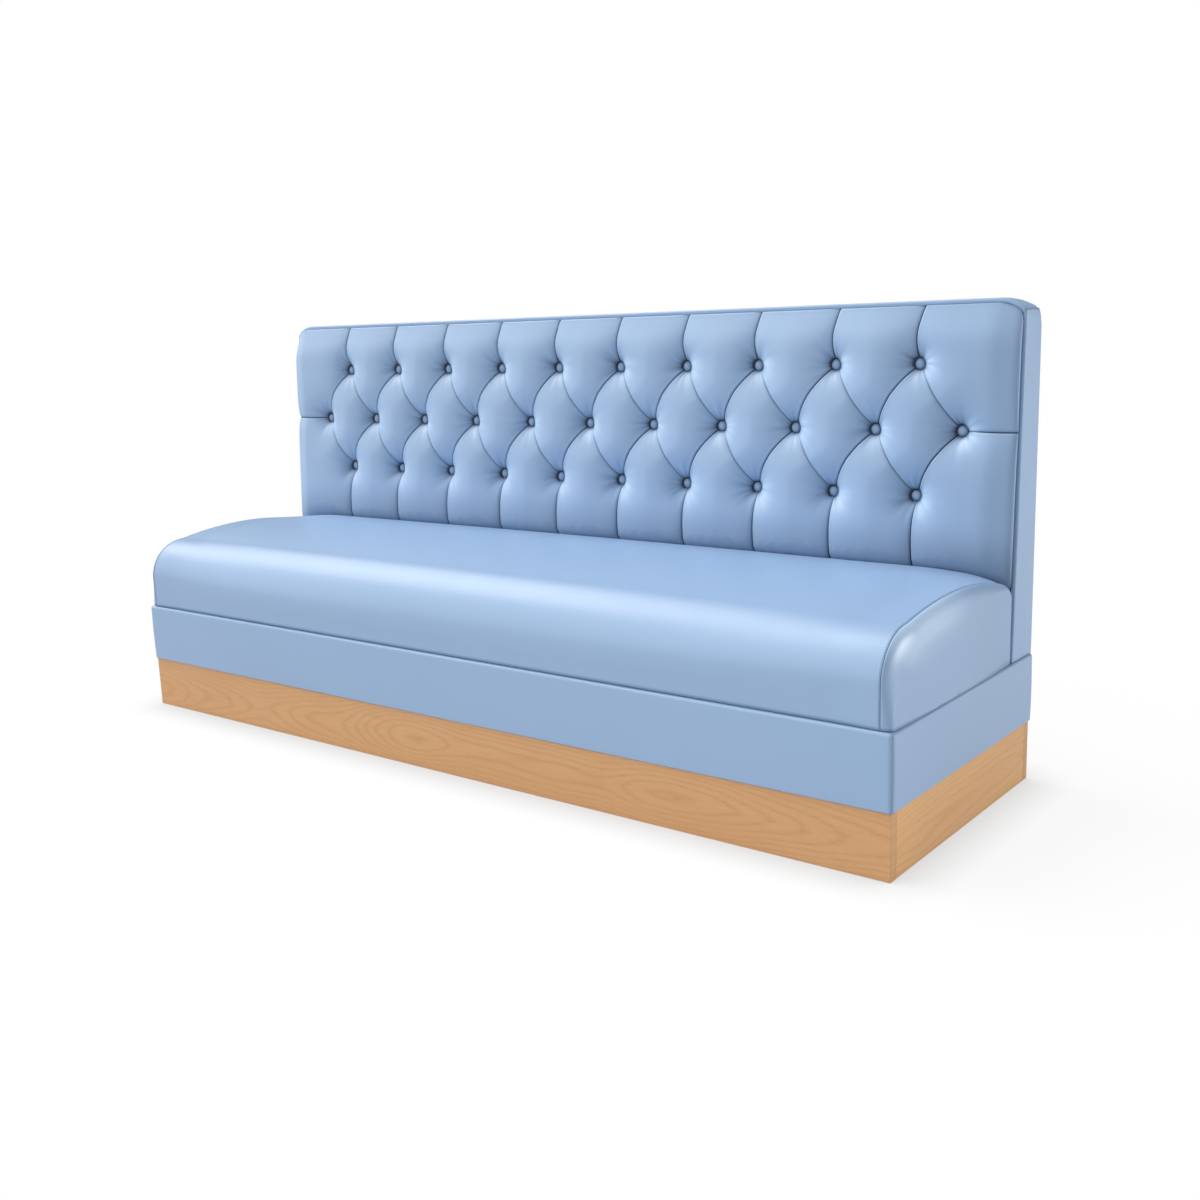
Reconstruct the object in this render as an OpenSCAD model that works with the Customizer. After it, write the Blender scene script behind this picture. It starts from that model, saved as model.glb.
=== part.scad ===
// Upholstered banquette bench: timber plinth, upholstered base box, foam seat and a
// deep-buttoned back. Millimetres, +X along the bench, +Y to the back, +Z up.
// The origin is the middle of the footprint, on the floor.

/* [Plinth] */
// Length of the plinth, along the bench
bench_length = 2100; // [1700:10:2400]
// Depth of the plinth, front to back
plinth_depth = 630; // [600:5:680]
// Height of the plinth
plinth_height = 124; // [90:1:160]
// Thickness of the plinth boards
plinth_board = 22; // [18:1:28]
// Thickness of the plinth's cross rails
cross_rail = 18; // [15:1:25]
// Side of the square corner blocks
block_side = 45; // [38:1:55]
// Height of the corner blocks
block_height = 60; // [50:1:80]

/* [Base box] */
// Height of the upholstered base box, from plinth top to seat underside
base_height = 141; // [120:1:180]
// Thickness of the base rails and cross members
rail = 18; // [15:1:22]
// Thickness of the deck that the seat and the back stand on
deck = 12; // [9:1:18]
// Thickness of the vinyl where it is folded under or over a board
hem = 1.5; // [1:0.1:2.5]
// Width of the folded vinyl on the deck
hem_width = 50; // [30:1:52]
// Width of the vinyl folded under the rails
under_fold = 15; // [15:1:18]
// Thickness of the foam strips behind the band
band_foam = 3.4; // [2:0.1:6]
// Radius of the band's upright corners
band_corner = 10; // [8:1:14]
// Radius of the band's top edge
band_top_edge = 8; // [4:0.5:9]
// Radius of the band's bottom edge
band_bottom_edge = 4; // [2:0.5:4.5]

/* [Seat] */
// Height of the middle of the seat, above the floor
seat_height = 456; // [430:1:480]
// How far the seat stands forward of the plinth
seat_overhang = 1; // [-15:1:3]
// Gap between the seat and the foot of the back
seat_back_gap = 0.4; // [0.4:0.1:3]
// Thickness of the seat board
seat_board = 15; // [12:1:18]
// Thickness of the vinyl and its wadding round the seat foam
seat_skin = 3; // [2:0.2:5]
// Depth of the front roll, front to back
roll_depth = 100; // [60:1:120]
// Height of the front roll
roll_height = 90; // [60:1:100]
// How far the seat's bottom edge is drawn in
draw_in = 8; // [4:0.5:12]
// How far the crown rises behind the front roll
crown = 20; // [8:1:26]
// How far the rear corners of the seat fall
corner_fall = 38; // [10:1:45]
// Width of the rounded shoulder outside each end seam
shoulder = 20; // [12:1:26]
// How far each end panel bulges past its shoulder
end_bulge = 4; // [1:0.5:6]

/* [Back] */
// Height of the top of the back, above the floor
back_height = 968; // [900:1:1050]
// Thickness of the back at its foot
back_foot = 102.5; // [96:0.5:120]
// How far the front of the back leans back for each millimetre of height
lean_slope = 0.035; // [0.01:0.005:0.05]
// Radius of the curve at the ends of the top border, seen from the front
top_corner = 78.5; // [60:0.5:110]
// Radius of the top rear edge
top_rear_edge = 60; // [45:1:68]
// Height of the top border's end seam, below the top of the back
top_border_drop = 23; // [15:1:32]
// Thickness of the border's foam and vinyl
border_skin = 5; // [3:0.5:7]
// Thickness of the hardboard that stiffens the side borders
border_board = 4; // [3:0.5:6]
// Thickness of the stiles, uprights and rails in the back
stile = 22; // [18:1:26]
// Thickness of the plywood that the buttons are tied to
button_board = 9; // [6:1:12]
// Thickness of the foam slab between plywood and buttoned cover
back_foam_slab = 12; // [8:1:16]
// Thickness of the hardboard at the rear
rear_board = 3; // [2:0.5:5]
// Thickness of the vinyl at the rear
rear_skin = 2; // [1:0.5:3]

/* [Buttoning] */
// Distance between neighbouring buttons in a row
pitch = 186; // [170:1:205]
// Distance between the rows
row_step = 131; // [115:1:140]
// Height of the middle row, above the floor
middle_row = 715; // [690:1:730]
// Diameter of a button
button_d = 23; // [18:0.5:26]
// Height of a button's dome
button_dome = 8; // [5:0.5:10]
// Thickness of the buttoned cover and wadding under a button
tuft_floor = 4; // [3:0.5:6]
// Rise of the stuffing between the buttons at the foot of the pad
swell_low = 32; // [20:1:34]
// Rise of the stuffing between the buttons at the top of the pad
swell_high = 24; // [14:1:30]
// Depth of a pleat, as a share of the swell
pleat_share = 0.4; // [0.2:0.05:0.6]
// Distance over which the cover rises beside a pleat
pleat_reach = 20; // [12:1:30]
// Distance over which the cover rises round a button
tuft_reach = 38; // [25:1:50]
// How far the pad's flat rear lies behind the borders' front edges
pad_recess = 12; // [8:1:16]
// Width of the dark gap between pad and borders
pad_gap = 4; // [2:0.5:6]
// Radius of the pad's soft edges
pad_edge = 30; // [18:1:40]

/* [Fasteners] */
// Diameter of the assembly bolts
bolt_d = 8; // [6:1:10]
// Width of a bolt head across its flats
bolt_head = 13; // [11:1:17]
// Height of a bolt head
bolt_head_height = 5.5; // [4:0.5:7]
// Diameter of a plain washer
washer_d = 20; // [16:1:26]
// Thickness of a plain washer
washer = 1.6; // [1:0.1:2.5]
// Diameter of a wood screw
screw_d = 4.5; // [3.5:0.5:5.5]
// Diameter of a wood screw's head
screw_head = 9; // [7:0.5:11]
// Height of a wood screw's head
screw_head_height = 3; // [2:0.5:4]
// Radial clearance round a bolt, screw or twine
clear = 0.3; // [0.2:0.05:0.5]
// Diameter of the button twine
twine_d = 2; // [1.5:0.1:3]
// Diameter of the disc that the twine is tied to
tie_disc_d = 22; // [18:1:26]
// Thickness of the disc that the twine is tied to
tie_disc = 2; // [1:0.2:3]

/* [Hidden] */

VINYL = "#9bb6da";
TIMBER = "#d3a574";
PLYWOOD = "#dcc095";
HARDBOARD = "#7d5f41";
FOAM = "#efe6c6";
CLOTH = "#2a2c30";
STEEL = "#b9bdc3";
TWINE = "#e8e2d2";

$fn = 32;
end_fn = 6;            // flats of a bolt head or nut
overrun = 1;           // how far a cut runs past the face it opens

// Footprint and levels
half_length = bench_length / 2;
half_depth = plinth_depth / 2;
skin = hem + band_foam;
band_half_length = half_length + skin;
band_half_depth = half_depth + skin;
base_bottom = plinth_height + hem;
base_top = plinth_height + base_height;
deck_top = base_top - hem;
deck_bottom = deck_top - deck;

// Block and bolt places: each corner as a pair of signs
corner_signs = [for (sx = [-1, 1], sy = [-1, 1]) [sx, sy]];
plinth_inner_x = half_length - plinth_board;
plinth_inner_y = half_depth - plinth_board;
base_inner_x = half_length - rail;
base_inner_y = half_depth - rail;
block_bolt_x = plinth_inner_x - block_side / 2;
block_bolt_y = plinth_inner_y - block_side / 2;
block_screw_shares = [0.25, 0.75];
screw_bite = 14;       // how far a block's screw reaches into the board

// Cross rails in the plinth and the base box, as shares of the inner length
cross_rail_shares = [-0.36, 0, 0.36];
cross_member_shares = [-0.7, -0.36, 0, 0.36, 0.7];

// Seat levels and widths
seat_bottom = base_top;
board_bottom = seat_bottom + hem;
board_top = board_bottom + seat_board;
seat_seam = half_length - shoulder - hem;
seat_front = half_depth + seat_overhang;
seat_rear = band_half_depth - back_foot - seat_back_gap;
long_crown = 5;        // how much higher the seat is at mid-length than at its end seams
crown_middle = -10;    // y of the highest line of the seat
rear_sag = 3;          // how far the crown falls towards the rear, at mid-length
rear_roll = 30;        // radius of the seat's rear top edge
draw_height = 30;      // height over which the bottom edge is drawn in
fall_start_share = 0.81; // where along the seat the rear corners start to fall
seat_hem_width = 45;   // width of the seat cover that is stapled under the board
cloth = 0.8;           // thickness of the cloth under the seat
soft_clear = 0.3;      // gap between a soft solid and its neighbour

// Back levels and planes
back_rear = band_half_depth;
back_bottom = base_top;
frame_rear = back_rear - rear_skin - rear_board;
lean_angle = atan(lean_slope);
border_inner = half_length - border_skin - border_board;
border_top = back_height - top_border_drop;
frame_top = back_height - border_skin;
frame_half = half_length - border_skin;
pad_half = border_inner - pad_gap;
pad_top = frame_top - border_board - pad_gap;
pad_bottom = back_bottom + hem;
board_depth = pad_recess + back_foam_slab + button_board;
upright_pitch_shares = [-3.25, -0.75, 0.75, 3.25];
bottom_rail_height = 45;
rear_top = back_height - top_rear_edge;
top_rail_lap = 4;      // how far the top rail runs below the rounded top rear edge

// The top border curves down at its ends as far as its seam with the side borders
corner_turn = acos(1 - top_border_drop / top_corner);
corner_x = half_length - top_corner * sin(corner_turn);
corner_z = back_height - top_corner;

// Buttons: the middle row has one button more than the other two
side_pitches = floor((pad_half - button_d) / pitch);
outer_half = side_pitches - 1 / 2;
buttons = concat(
    [for (i = [-side_pitches : side_pitches]) [i, 0]],
    [for (s = [-1, 1], i = [-outer_half : outer_half]) [i, s]]
);

// y of the borders' front edges at a height
function front_y(z) = back_rear - back_foot + lean_slope * (z - back_bottom);
function pad_plane(z) = front_y(z) + pad_recess;
function button_z(row) = middle_row + row * row_step;

// An arc as points: centre, two radii and the angles it runs between
function arc(c, rx, rz, from, to, steps) =
    [for (k = [0 : steps]) let (a = from + (to - from) * k / steps)
        [c[0] + rx * cos(a), c[1] + rz * sin(a)]];

// A box between two corners
module box(low, high) {
    translate(low) cube(high - low);
}

// A plate whose outline lies in Y and Z, between two places along X
module yz_plate(points, from, to) {
    translate([from, 0, 0]) rotate([90, 0, 90]) linear_extrude(to - from) polygon(points);
}

// A plate whose outline lies in X and Z, between two places along Y
module xz_plate(points, from, to) {
    translate([0, to, 0]) rotate([90, 0, 0]) linear_extrude(to - from) polygon(points);
}

// PLINTH

module plinth_long_board(side) {
    color(TIMBER) difference() {
        box([-half_length, min(side * half_depth, side * plinth_inner_y), 0],
            [half_length, max(side * half_depth, side * plinth_inner_y), plinth_height]);
        plinth_screw_bores();
    }
}

module plinth_end_board(side) {
    color(TIMBER) difference() {
        box([min(side * half_length, side * plinth_inner_x), -plinth_inner_y, 0],
            [max(side * half_length, side * plinth_inner_x), plinth_inner_y, plinth_height]);
        plinth_screw_bores();
    }
}

module plinth_front_board() { plinth_long_board(-1); }
module plinth_rear_board() { plinth_long_board(1); }
module plinth_left_board() { plinth_end_board(-1); }
module plinth_right_board() { plinth_end_board(1); }

module plinth_cross_rails() {
    color(PLYWOOD) for (share = cross_rail_shares)
        translate([share * plinth_inner_x, 0, 0])
            box([-cross_rail / 2, -plinth_inner_y, 0],
                [cross_rail / 2, plinth_inner_y, plinth_height]);
}

// Four blocks in the corners of a box of boards, each with an upright bolt bore
module corner_blocks(inner_x, inner_y, low) {
    for (s = corner_signs) difference() {
        translate([s[0] * (inner_x - block_side / 2), s[1] * (inner_y - block_side / 2), low])
            box([-block_side / 2, -block_side / 2, 0],
                [block_side / 2, block_side / 2, block_height]);
        translate([s[0] * block_bolt_x, s[1] * block_bolt_y, low - overrun])
            cylinder(d = bolt_d + 2 * clear, h = block_height + 2 * overrun);
    }
}

// Screws through the blocks into the boards: pairs along X and along Y, at two heights
module block_screw_places(inner_x, inner_y, low) {
    for (s = corner_signs) {
        x = s[0] * (inner_x - block_side);
        y = s[1] * (inner_y - block_side);
        translate([x, s[1] * (inner_y - block_side * block_screw_shares[0]),
                   low + block_height * block_screw_shares[0]])
            rotate([0, s[0] * 90, 0]) children();
        translate([s[0] * (inner_x - block_side * block_screw_shares[0]), y,
                   low + block_height * block_screw_shares[1]])
            rotate([-s[1] * 90, 0, 0]) children();
    }
}

module screw(length) {
    color(STEEL) union() {
        cylinder(d = screw_d, h = length);
        translate([0, 0, -screw_head_height]) cylinder(d = screw_head, h = screw_head_height);
    }
}

module screw_bore(length) {
    translate([0, 0, -overrun]) cylinder(d = screw_d + 2 * clear, h = length + 2 * overrun);
}

module plinth_screw_bores() {
    block_screw_places(plinth_inner_x, plinth_inner_y, plinth_height - block_height)
        screw_bore(block_side + screw_bite);
}

module base_screw_bores() {
    block_screw_places(base_inner_x, base_inner_y, base_bottom)
        screw_bore(block_side + screw_bite - clear);
}

module plinth_corner_blocks() {
    color(TIMBER) difference() {
        corner_blocks(plinth_inner_x, plinth_inner_y, plinth_height - block_height);
        plinth_screw_bores();
    }
}

module plinth_block_screws() {
    block_screw_places(plinth_inner_x, plinth_inner_y, plinth_height - block_height)
        screw(block_side + screw_bite);
}

// BASE BOX

module base_long_rail(side) {
    color(PLYWOOD) difference() {
        box([-half_length, min(side * half_depth, side * base_inner_y), base_bottom],
            [half_length, max(side * half_depth, side * base_inner_y), deck_bottom]);
        base_screw_bores();
    }
}

module base_end_rail(side) {
    color(PLYWOOD) difference() {
        box([min(side * half_length, side * base_inner_x), -base_inner_y, base_bottom],
            [max(side * half_length, side * base_inner_x), base_inner_y, deck_bottom]);
        base_screw_bores();
    }
}

module base_front_rail() { base_long_rail(-1); }
module base_rear_rail() { base_long_rail(1); }
module base_left_rail() { base_end_rail(-1); }
module base_right_rail() { base_end_rail(1); }

module base_cross_members() {
    color(PLYWOOD) difference() {
        for (share = cross_member_shares)
            translate([share * base_inner_x, 0, 0])
                box([-rail / 2, -base_inner_y, base_bottom],
                    [rail / 2, base_inner_y, deck_bottom]);
        deck_screw_places() deck_screw_bore();
    }
}

module base_corner_blocks() {
    color(TIMBER) difference() {
        corner_blocks(base_inner_x, base_inner_y, base_bottom);
        base_screw_bores();
    }
}

module base_block_screws() {
    block_screw_places(base_inner_x, base_inner_y, base_bottom)
        screw(block_side + screw_bite - 2 * clear);
}

// Screws that hold the deck to the cross members
deck_screw_length = 40;
deck_screw_shares = [-0.6, 0, 0.6];

module deck_screw_places() {
    for (share = cross_member_shares, across = deck_screw_shares)
        translate([share * base_inner_x, across * base_inner_y, deck_top]) children();
}

module deck_screw_bore() {
    translate([0, 0, -deck_screw_length - overrun])
        cylinder(d = screw_d + 2 * clear, h = deck_screw_length + 2 * overrun);
    translate([0, 0, -screw_head_height - clear])
        cylinder(d = screw_head + 2 * clear, h = screw_head_height + clear + overrun);
}

module base_deck_screws() {
    color(STEEL) deck_screw_places() union() {
        translate([0, 0, -deck_screw_length])
            cylinder(d = screw_d, h = deck_screw_length - screw_head_height);
        translate([0, 0, -screw_head_height - clear])
            cylinder(d = screw_head, h = screw_head_height);
    }
}

module base_deck() {
    color(PLYWOOD) difference() {
        box([-half_length, -half_depth, deck_bottom], [half_length, half_depth, deck_top]);
        deck_screw_places() deck_screw_bore();
        seat_bolt_places() bolt_bore(deck_bottom, deck_top);
        back_bolt_places() bolt_bore(deck_bottom, deck_top);
    }
}

module bolt_bore(low, high) {
    translate([0, 0, low - overrun])
        cylinder(d = bolt_d + 2 * clear, h = high - low + 2 * overrun);
}

// A bolt that stands upright with its head below: from the head's seat to its end
module bolt(seat, end) {
    color(STEEL) union() {
        translate([0, 0, seat]) cylinder(d = bolt_d, h = end - seat);
        translate([0, 0, seat - bolt_head_height])
            cylinder(d = bolt_head / cos(180 / end_fn), h = bolt_head_height, $fn = end_fn);
    }
}

// A hexagonal nut round an upright bolt, sitting on a level
module nut(low) {
    color(STEEL) translate([0, 0, low]) difference() {
        cylinder(d = bolt_head / cos(180 / end_fn), h = bolt_head_height, $fn = end_fn);
        translate([0, 0, -overrun])
            cylinder(d = bolt_d + 2 * clear, h = bolt_head_height + 2 * overrun);
    }
}

module base_bolts() {
    for (s = corner_signs) translate([s[0] * block_bolt_x, s[1] * block_bolt_y, 0])
        bolt(plinth_height - block_height, base_bottom + block_height + 2 * bolt_head_height);
}

module base_nuts() {
    for (s = corner_signs) translate([s[0] * block_bolt_x, s[1] * block_bolt_y, 0])
        nut(base_bottom + block_height);
}

// THE BAND: foam strips and vinyl round the base box

module band_long_foam(side) {
    near = half_depth;
    far = half_depth + band_foam;
    color(FOAM) box([-half_length + band_corner, min(side * near, side * far), base_bottom],
                    [half_length - band_corner, max(side * near, side * far), deck_bottom]);
}

module band_end_foam(side) {
    near = half_length;
    far = half_length + band_foam;
    color(FOAM) box([min(side * near, side * far), -half_depth + band_corner, base_bottom],
                    [max(side * near, side * far), half_depth - band_corner, deck_bottom]);
}

module band_front_foam() { band_long_foam(-1); }
module band_rear_foam() { band_long_foam(1); }
module band_left_foam() { band_end_foam(-1); }
module band_right_foam() { band_end_foam(1); }

// The folded vinyl in section: distance out from the corner's centre, and height
edge_steps = 5;
band_inside = hem_width - band_corner;
band_under = under_fold - band_corner;

// Outer face of the band, from the edge of the lower fold to the edge of the upper one
function band_face() = concat(
    [[-band_under, plinth_height]],
    arc([band_corner - band_bottom_edge, plinth_height + band_bottom_edge],
        band_bottom_edge, band_bottom_edge, -90, 0, edge_steps),
    arc([band_corner - band_top_edge, base_top - band_top_edge],
        band_top_edge, band_top_edge, 0, 90, edge_steps),
    [[-band_inside, base_top]]
);

// The whole fold; thick is the cover's thickness against the rails
function band_section(thick) = concat(
    band_face(),
    [[-band_inside, deck_top], [band_corner - skin, deck_top]],
    thick < skin ? [[band_corner - skin, deck_bottom], [band_corner - thick, deck_bottom]] : [],
    [[band_corner - thick, base_bottom], [-band_under, base_bottom]]
);

module band_run(thick, from, to) {
    translate([from, 0, 0]) rotate([90, 0, 90])
        linear_extrude(to - from) polygon(band_section(thick));
}

// What belongs to the next side, beyond the seam at 45 degrees
module next_side() {
    reach = 2 * hem_width;
    translate([0, 0, plinth_height - overrun]) linear_extrude(base_height + 2 * overrun)
        polygon([[-reach, -reach], [reach, -reach], [reach, reach]]);
}

// One side of the band, thick at its ends, where the foam strip stops
module band_side(length) {
    half = length / 2;
    inner = half - band_corner;
    difference() {
        union() {
            band_run(hem, -inner, inner);
            band_run(skin, -half, -inner);
            band_run(skin, inner, half);
        }
        for (m = [0, 1]) mirror([m, 0, 0]) translate([inner, 0, 0]) next_side();
    }
}

// The block that rounds the band's upright corners
module band_block() {
    x = band_half_length - band_corner;
    y = band_half_depth - band_corner;
    r = band_corner;
    translate([0, 0, plinth_height]) linear_extrude(base_height) polygon(concat(
        arc([x, y], r, r, 0, 90, arc_steps), arc([-x, y], r, r, 90, 180, arc_steps),
        arc([-x, -y], r, r, 180, 270, arc_steps), arc([x, -y], r, r, 270, 360, arc_steps)
    ));
}

module band_cover(turn, out, length) {
    color(VINYL) intersection() {
        rotate([0, 0, turn]) translate([0, out - band_corner, 0]) band_side(length);
        band_block();
    }
}

module band_rear_cover() { band_cover(0, band_half_depth, 2 * band_half_length); }
module band_left_cover() { band_cover(90, band_half_length, 2 * band_half_depth); }
module band_front_cover() { band_cover(180, band_half_depth, 2 * band_half_length); }
module band_right_cover() { band_cover(270, band_half_length, 2 * band_half_depth); }

// SEAT

// Height of the seat's surface over its crown line, before its front and rear are rounded
function crown_z(x, y) =
    let (along = x / half_length,
         ahead = (crown_middle - y) / (seat_front - roll_depth + crown_middle),
         behind = (y - crown_middle) / (seat_rear - crown_middle),
         fall = max(0, (abs(along) - fall_start_share) / (1 - fall_start_share)))
    seat_height - long_crown * along * along
        - (y < crown_middle ? crown * ahead * ahead : rear_sag * behind * behind)
        - (y > crown_middle ? corner_fall * pow(fall, 3) * behind * behind : 0);

wall_shares = [0, 0.12, 0.35, 0.65];
roll_steps = 7;
top_shares = [0.2, 0.45, 0.7, 0.88];
rear_steps = 4;

// How far the wall is drawn in at a height
function drawn(z) =
    let (t = max(0, 1 - (z - seat_bottom) / draw_height)) draw_in * t * t;

// Outline of the seat in Y and Z at one place along X: up the front, over, down the rear
function seat_outline(x, inset, low) =
    let (front = -seat_front + inset,
         rear = seat_rear - inset,
         roll_y = -seat_front + roll_depth,
         roll_z = seat_height - long_crown - crown - roll_height,
         rear_y = seat_rear - rear_roll,
         rear_z = crown_z(x, rear_y) - rear_roll)
    concat(
        [for (s = wall_shares) let (z = low + s * (roll_z - low)) [front + drawn(z), z]],
        [for (k = [0 : roll_steps]) let (a = 90 * k / roll_steps,
                                         y = roll_y - (roll_depth - inset) * cos(a))
            [y, roll_z + (crown_z(x, max(y, roll_y)) - inset - roll_z) * sin(a)]],
        [for (s = top_shares) let (y = roll_y + s * (rear_y - roll_y))
            [y, crown_z(x, y) - inset]],
        [for (k = [0 : rear_steps]) let (a = 90 * k / rear_steps,
                                         y = rear_y + (rear_roll - inset) * sin(a))
            [y, rear_z + (crown_z(x, y) - inset - rear_z) * cos(a)]],
        [for (s = wall_shares) let (t = 1 - s, z = low + (t - wall_shares[3] / 2) * (rear_z - low))
            if (t < 1) [rear - drawn(z), z]],
        [[rear - drawn(low), low]]
    );

// Where the seat's sections stand, as shares of the distance to the end seam
half_station_shares = [0.3, 0.6, 0.78, 0.87, 0.93, 0.97, 1];
stations = concat(
    [for (i = [len(half_station_shares) - 1 : -1 : 0]) -half_station_shares[i]], [0],
    half_station_shares
);

// Two triangles across the four corners of a cell
function quad(a, b, c, d) = [[a, b, c], [a, c, d]];

// Faces between rings of points that lie one after another, and a cap at each end
function ring_faces(rings, n) =
    [for (r = [0 : rings - 2], k = [0 : n - 1]) let (m = (k + 1) % n)
        each quad(r * n + k, r * n + m, (r + 1) * n + m, (r + 1) * n + k)];

// The seat cover in section: outside, then the hems and the inside back again
function sleeve(x) =
    let (outside = seat_outline(x, 0, seat_bottom),
         inside = seat_outline(x, seat_skin, board_bottom),
         n = len(inside),
         front = inside[0][0] + seat_hem_width,
         rear = inside[n - 1][0] - seat_hem_width)
    concat(
        [for (p = outside) [x, p[0], p[1]]],
        [[x, rear, seat_bottom], [x, rear, board_bottom]],
        [for (k = [n - 1 : -1 : 0]) [x, inside[k][0], inside[k][1]]],
        [[x, front, board_bottom], [x, front, seat_bottom]]
    );

// Caps of a C-shaped ring: the outside point k lies across from the inside point n - 1 - k
function sleeve_cap(n, flip) =
    let (inner = n + 2)
    [for (k = [0 : n - 2])
        let (a = k, b = k + 1, c = inner + n - 2 - k, d = inner + n - 1 - k)
        each (flip ? quad(d, c, b, a) : quad(a, b, c, d)),
     each (flip ? quad(n - 1, inner, n + 1, n) : quad(n, n + 1, inner, n - 1)),
     each (flip ? quad(0, 2 * n + 3, 2 * n + 2, 2 * n + 1)
                : quad(2 * n + 1, 2 * n + 2, 2 * n + 3, 0))];

function shifted(faces, by) = [for (f = faces) [for (v = f) v + by]];

module seat_cover() {
    n = len(seat_outline(0, 0, seat_bottom));
    ring = 2 * n + 4;
    points = [for (s = stations) each sleeve(s * seat_seam)];
    color(VINYL) polyhedron(points, concat(
        ring_faces(len(stations), ring),
        sleeve_cap(n, true),
        shifted(sleeve_cap(n, false), (len(stations) - 1) * ring)
    ));
}

module seat_foam() {
    gap = seat_skin + soft_clear;
    n = len(seat_outline(0, gap, board_bottom));
    reach = seat_seam - soft_clear;
    points = [for (s = stations) let (x = max(-reach, min(reach, s * seat_seam)))
        each [for (p = seat_outline(s * seat_seam, gap, board_bottom))
            [x, p[0], max(p[1], board_top)]]];
    last = (len(stations) - 1) * n;
    color(FOAM) difference() {
        polyhedron(points, concat(
            ring_faces(len(stations), n),
            [for (k = [1 : n - 2]) [0, k + 1, k]],
            [for (k = [1 : n - 2]) [last, last + k, last + k + 1]]
        ));
        seat_bolt_places() nut_pocket(board_top);
    }
}

// An end panel: the seam's outline, a rounded shoulder and a soft bulge in the middle
shoulder_steps = 3;
bulge_shares = [0.45];

module seat_end(side) {
    n = len(seat_outline(seat_seam, 0, seat_bottom));
    middle = [(seat_rear - seat_front) / 2, (seat_height + seat_bottom) / 2];
    rings = concat(
        [for (k = [0 : shoulder_steps]) let (a = 90 * k / shoulder_steps)
            [seat_seam + shoulder * sin(a), shoulder * (1 - cos(a)), 0]],
        [for (s = bulge_shares) [seat_seam + shoulder + end_bulge * s * (2 - s), shoulder, s]]
    );
    points = concat(
        [for (r = rings) each [for (p = seat_outline(seat_seam, r[1], seat_bottom))
            [side * r[0], mixed(p[0], middle[0], r[2]), mixed(p[1], middle[1], r[2])]]],
        [[side * (seat_seam + shoulder + end_bulge), middle[0], middle[1]]]
    );
    last = (len(rings) - 1) * n;
    tip = len(rings) * n;
    faces = concat(
        ring_faces(len(rings), n),
        [for (k = [1 : n - 2]) [0, k + 1, k]],
        [for (k = [0 : n - 1]) [last + k, last + (k + 1) % n, tip]]
    );
    color(VINYL) polyhedron(points, side > 0 ? faces : [for (f = faces) [f[0], f[2], f[1]]]);
}

function mixed(a, b, share) = a + (b - a) * share;

module seat_left_end() { seat_end(-1); }
module seat_right_end() { seat_end(1); }

module seat_board_panel() {
    gap = seat_skin + soft_clear;
    color(PLYWOOD) difference() {
        box([-seat_seam + soft_clear, -seat_front + draw_in + gap, board_bottom],
            [seat_seam - soft_clear, seat_rear - draw_in - gap, board_top]);
        seat_bolt_places() bolt_bore(board_bottom, board_top);
    }
}

module seat_bottom_cloth() {
    inner = seat_hem_width + draw_in + seat_skin + soft_clear;
    color(CLOTH) difference() {
        box([-seat_seam + soft_clear, -seat_front + inner, board_bottom - cloth],
            [seat_seam - soft_clear, seat_rear - inner, board_bottom]);
        seat_bolt_places() bolt_bore(board_bottom - cloth, board_bottom);
    }
}

// Bolts up through the deck into the seat board
seat_bolt_shares = [-0.85, -0.2, 0.2, 0.85];
seat_bolt_y_shares = [-0.55, 0.3];

module seat_bolt_places() {
    for (sx = seat_bolt_shares, sy = seat_bolt_y_shares)
        translate([sx * base_inner_x, sy * half_depth, 0]) children();
}

// Room for a nut and the end of its bolt, over a level
module nut_pocket(low) {
    translate([0, 0, low - overrun])
        cylinder(d = washer_d, h = bolt_head_height + nut_room + overrun);
}
nut_room = 3;

module seat_bolts() {
    seat_bolt_places() bolt(deck_bottom - washer, board_top + bolt_head_height);
}

module washer_at(low) {
    color(STEEL) translate([0, 0, low]) difference() {
        cylinder(d = washer_d, h = washer);
        translate([0, 0, -overrun])
            cylinder(d = bolt_d + 2 * clear, h = washer + 2 * overrun);
    }
}

module seat_washers() { seat_bolt_places() washer_at(deck_bottom - washer); }
module seat_nuts() { seat_bolt_places() nut(board_top); }

// BACK

arc_steps = 8;

// Outline of the back seen from the front, drawn in on the outside
function back_outline(inset) =
    let (half = half_length - inset, r = top_corner - inset, turn = asin((half - corner_x) / r))
    concat(
        [[-half, back_bottom], [half, back_bottom]],
        arc([corner_x, corner_z], r, r, 90 - turn, 90, arc_steps),
        arc([-corner_x, corner_z], r, r, 90, 90 + turn, arc_steps)
    );

// Outline of the back seen from the end, drawn in at the rear and the top
function back_profile(inset, forward) =
    let (rear = back_rear - inset, top = back_height - inset, r = top_rear_edge - inset)
    concat(
        [[front_y(back_bottom) - forward, back_bottom], [rear, back_bottom]],
        arc([rear - r, top - r], r, r, 0, 90, arc_steps),
        [[front_y(top) - forward, top]]
    );

// The back as one block, drawn in on the outside; its front may run forward, to cut with
module back_block(inset, forward = 0) {
    intersection() {
        xz_plate(back_outline(inset), 0, back_rear + overrun);
        yz_plate(back_profile(inset, forward), -half_length, half_length);
    }
}

// Everything from one level to another, between two places along X
module slice(from, to, low, high) {
    box([from, 0, low], [to, back_rear + overrun, high]);
}

// A leaning slab between two depths behind the borders' front edges
module leaning_slab(near, far, half, low, high) {
    yz_plate([[front_y(low) + near, low], [front_y(low) + far, low],
              [front_y(high) + far, high], [front_y(high) + near, high]], -half, half);
}

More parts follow.
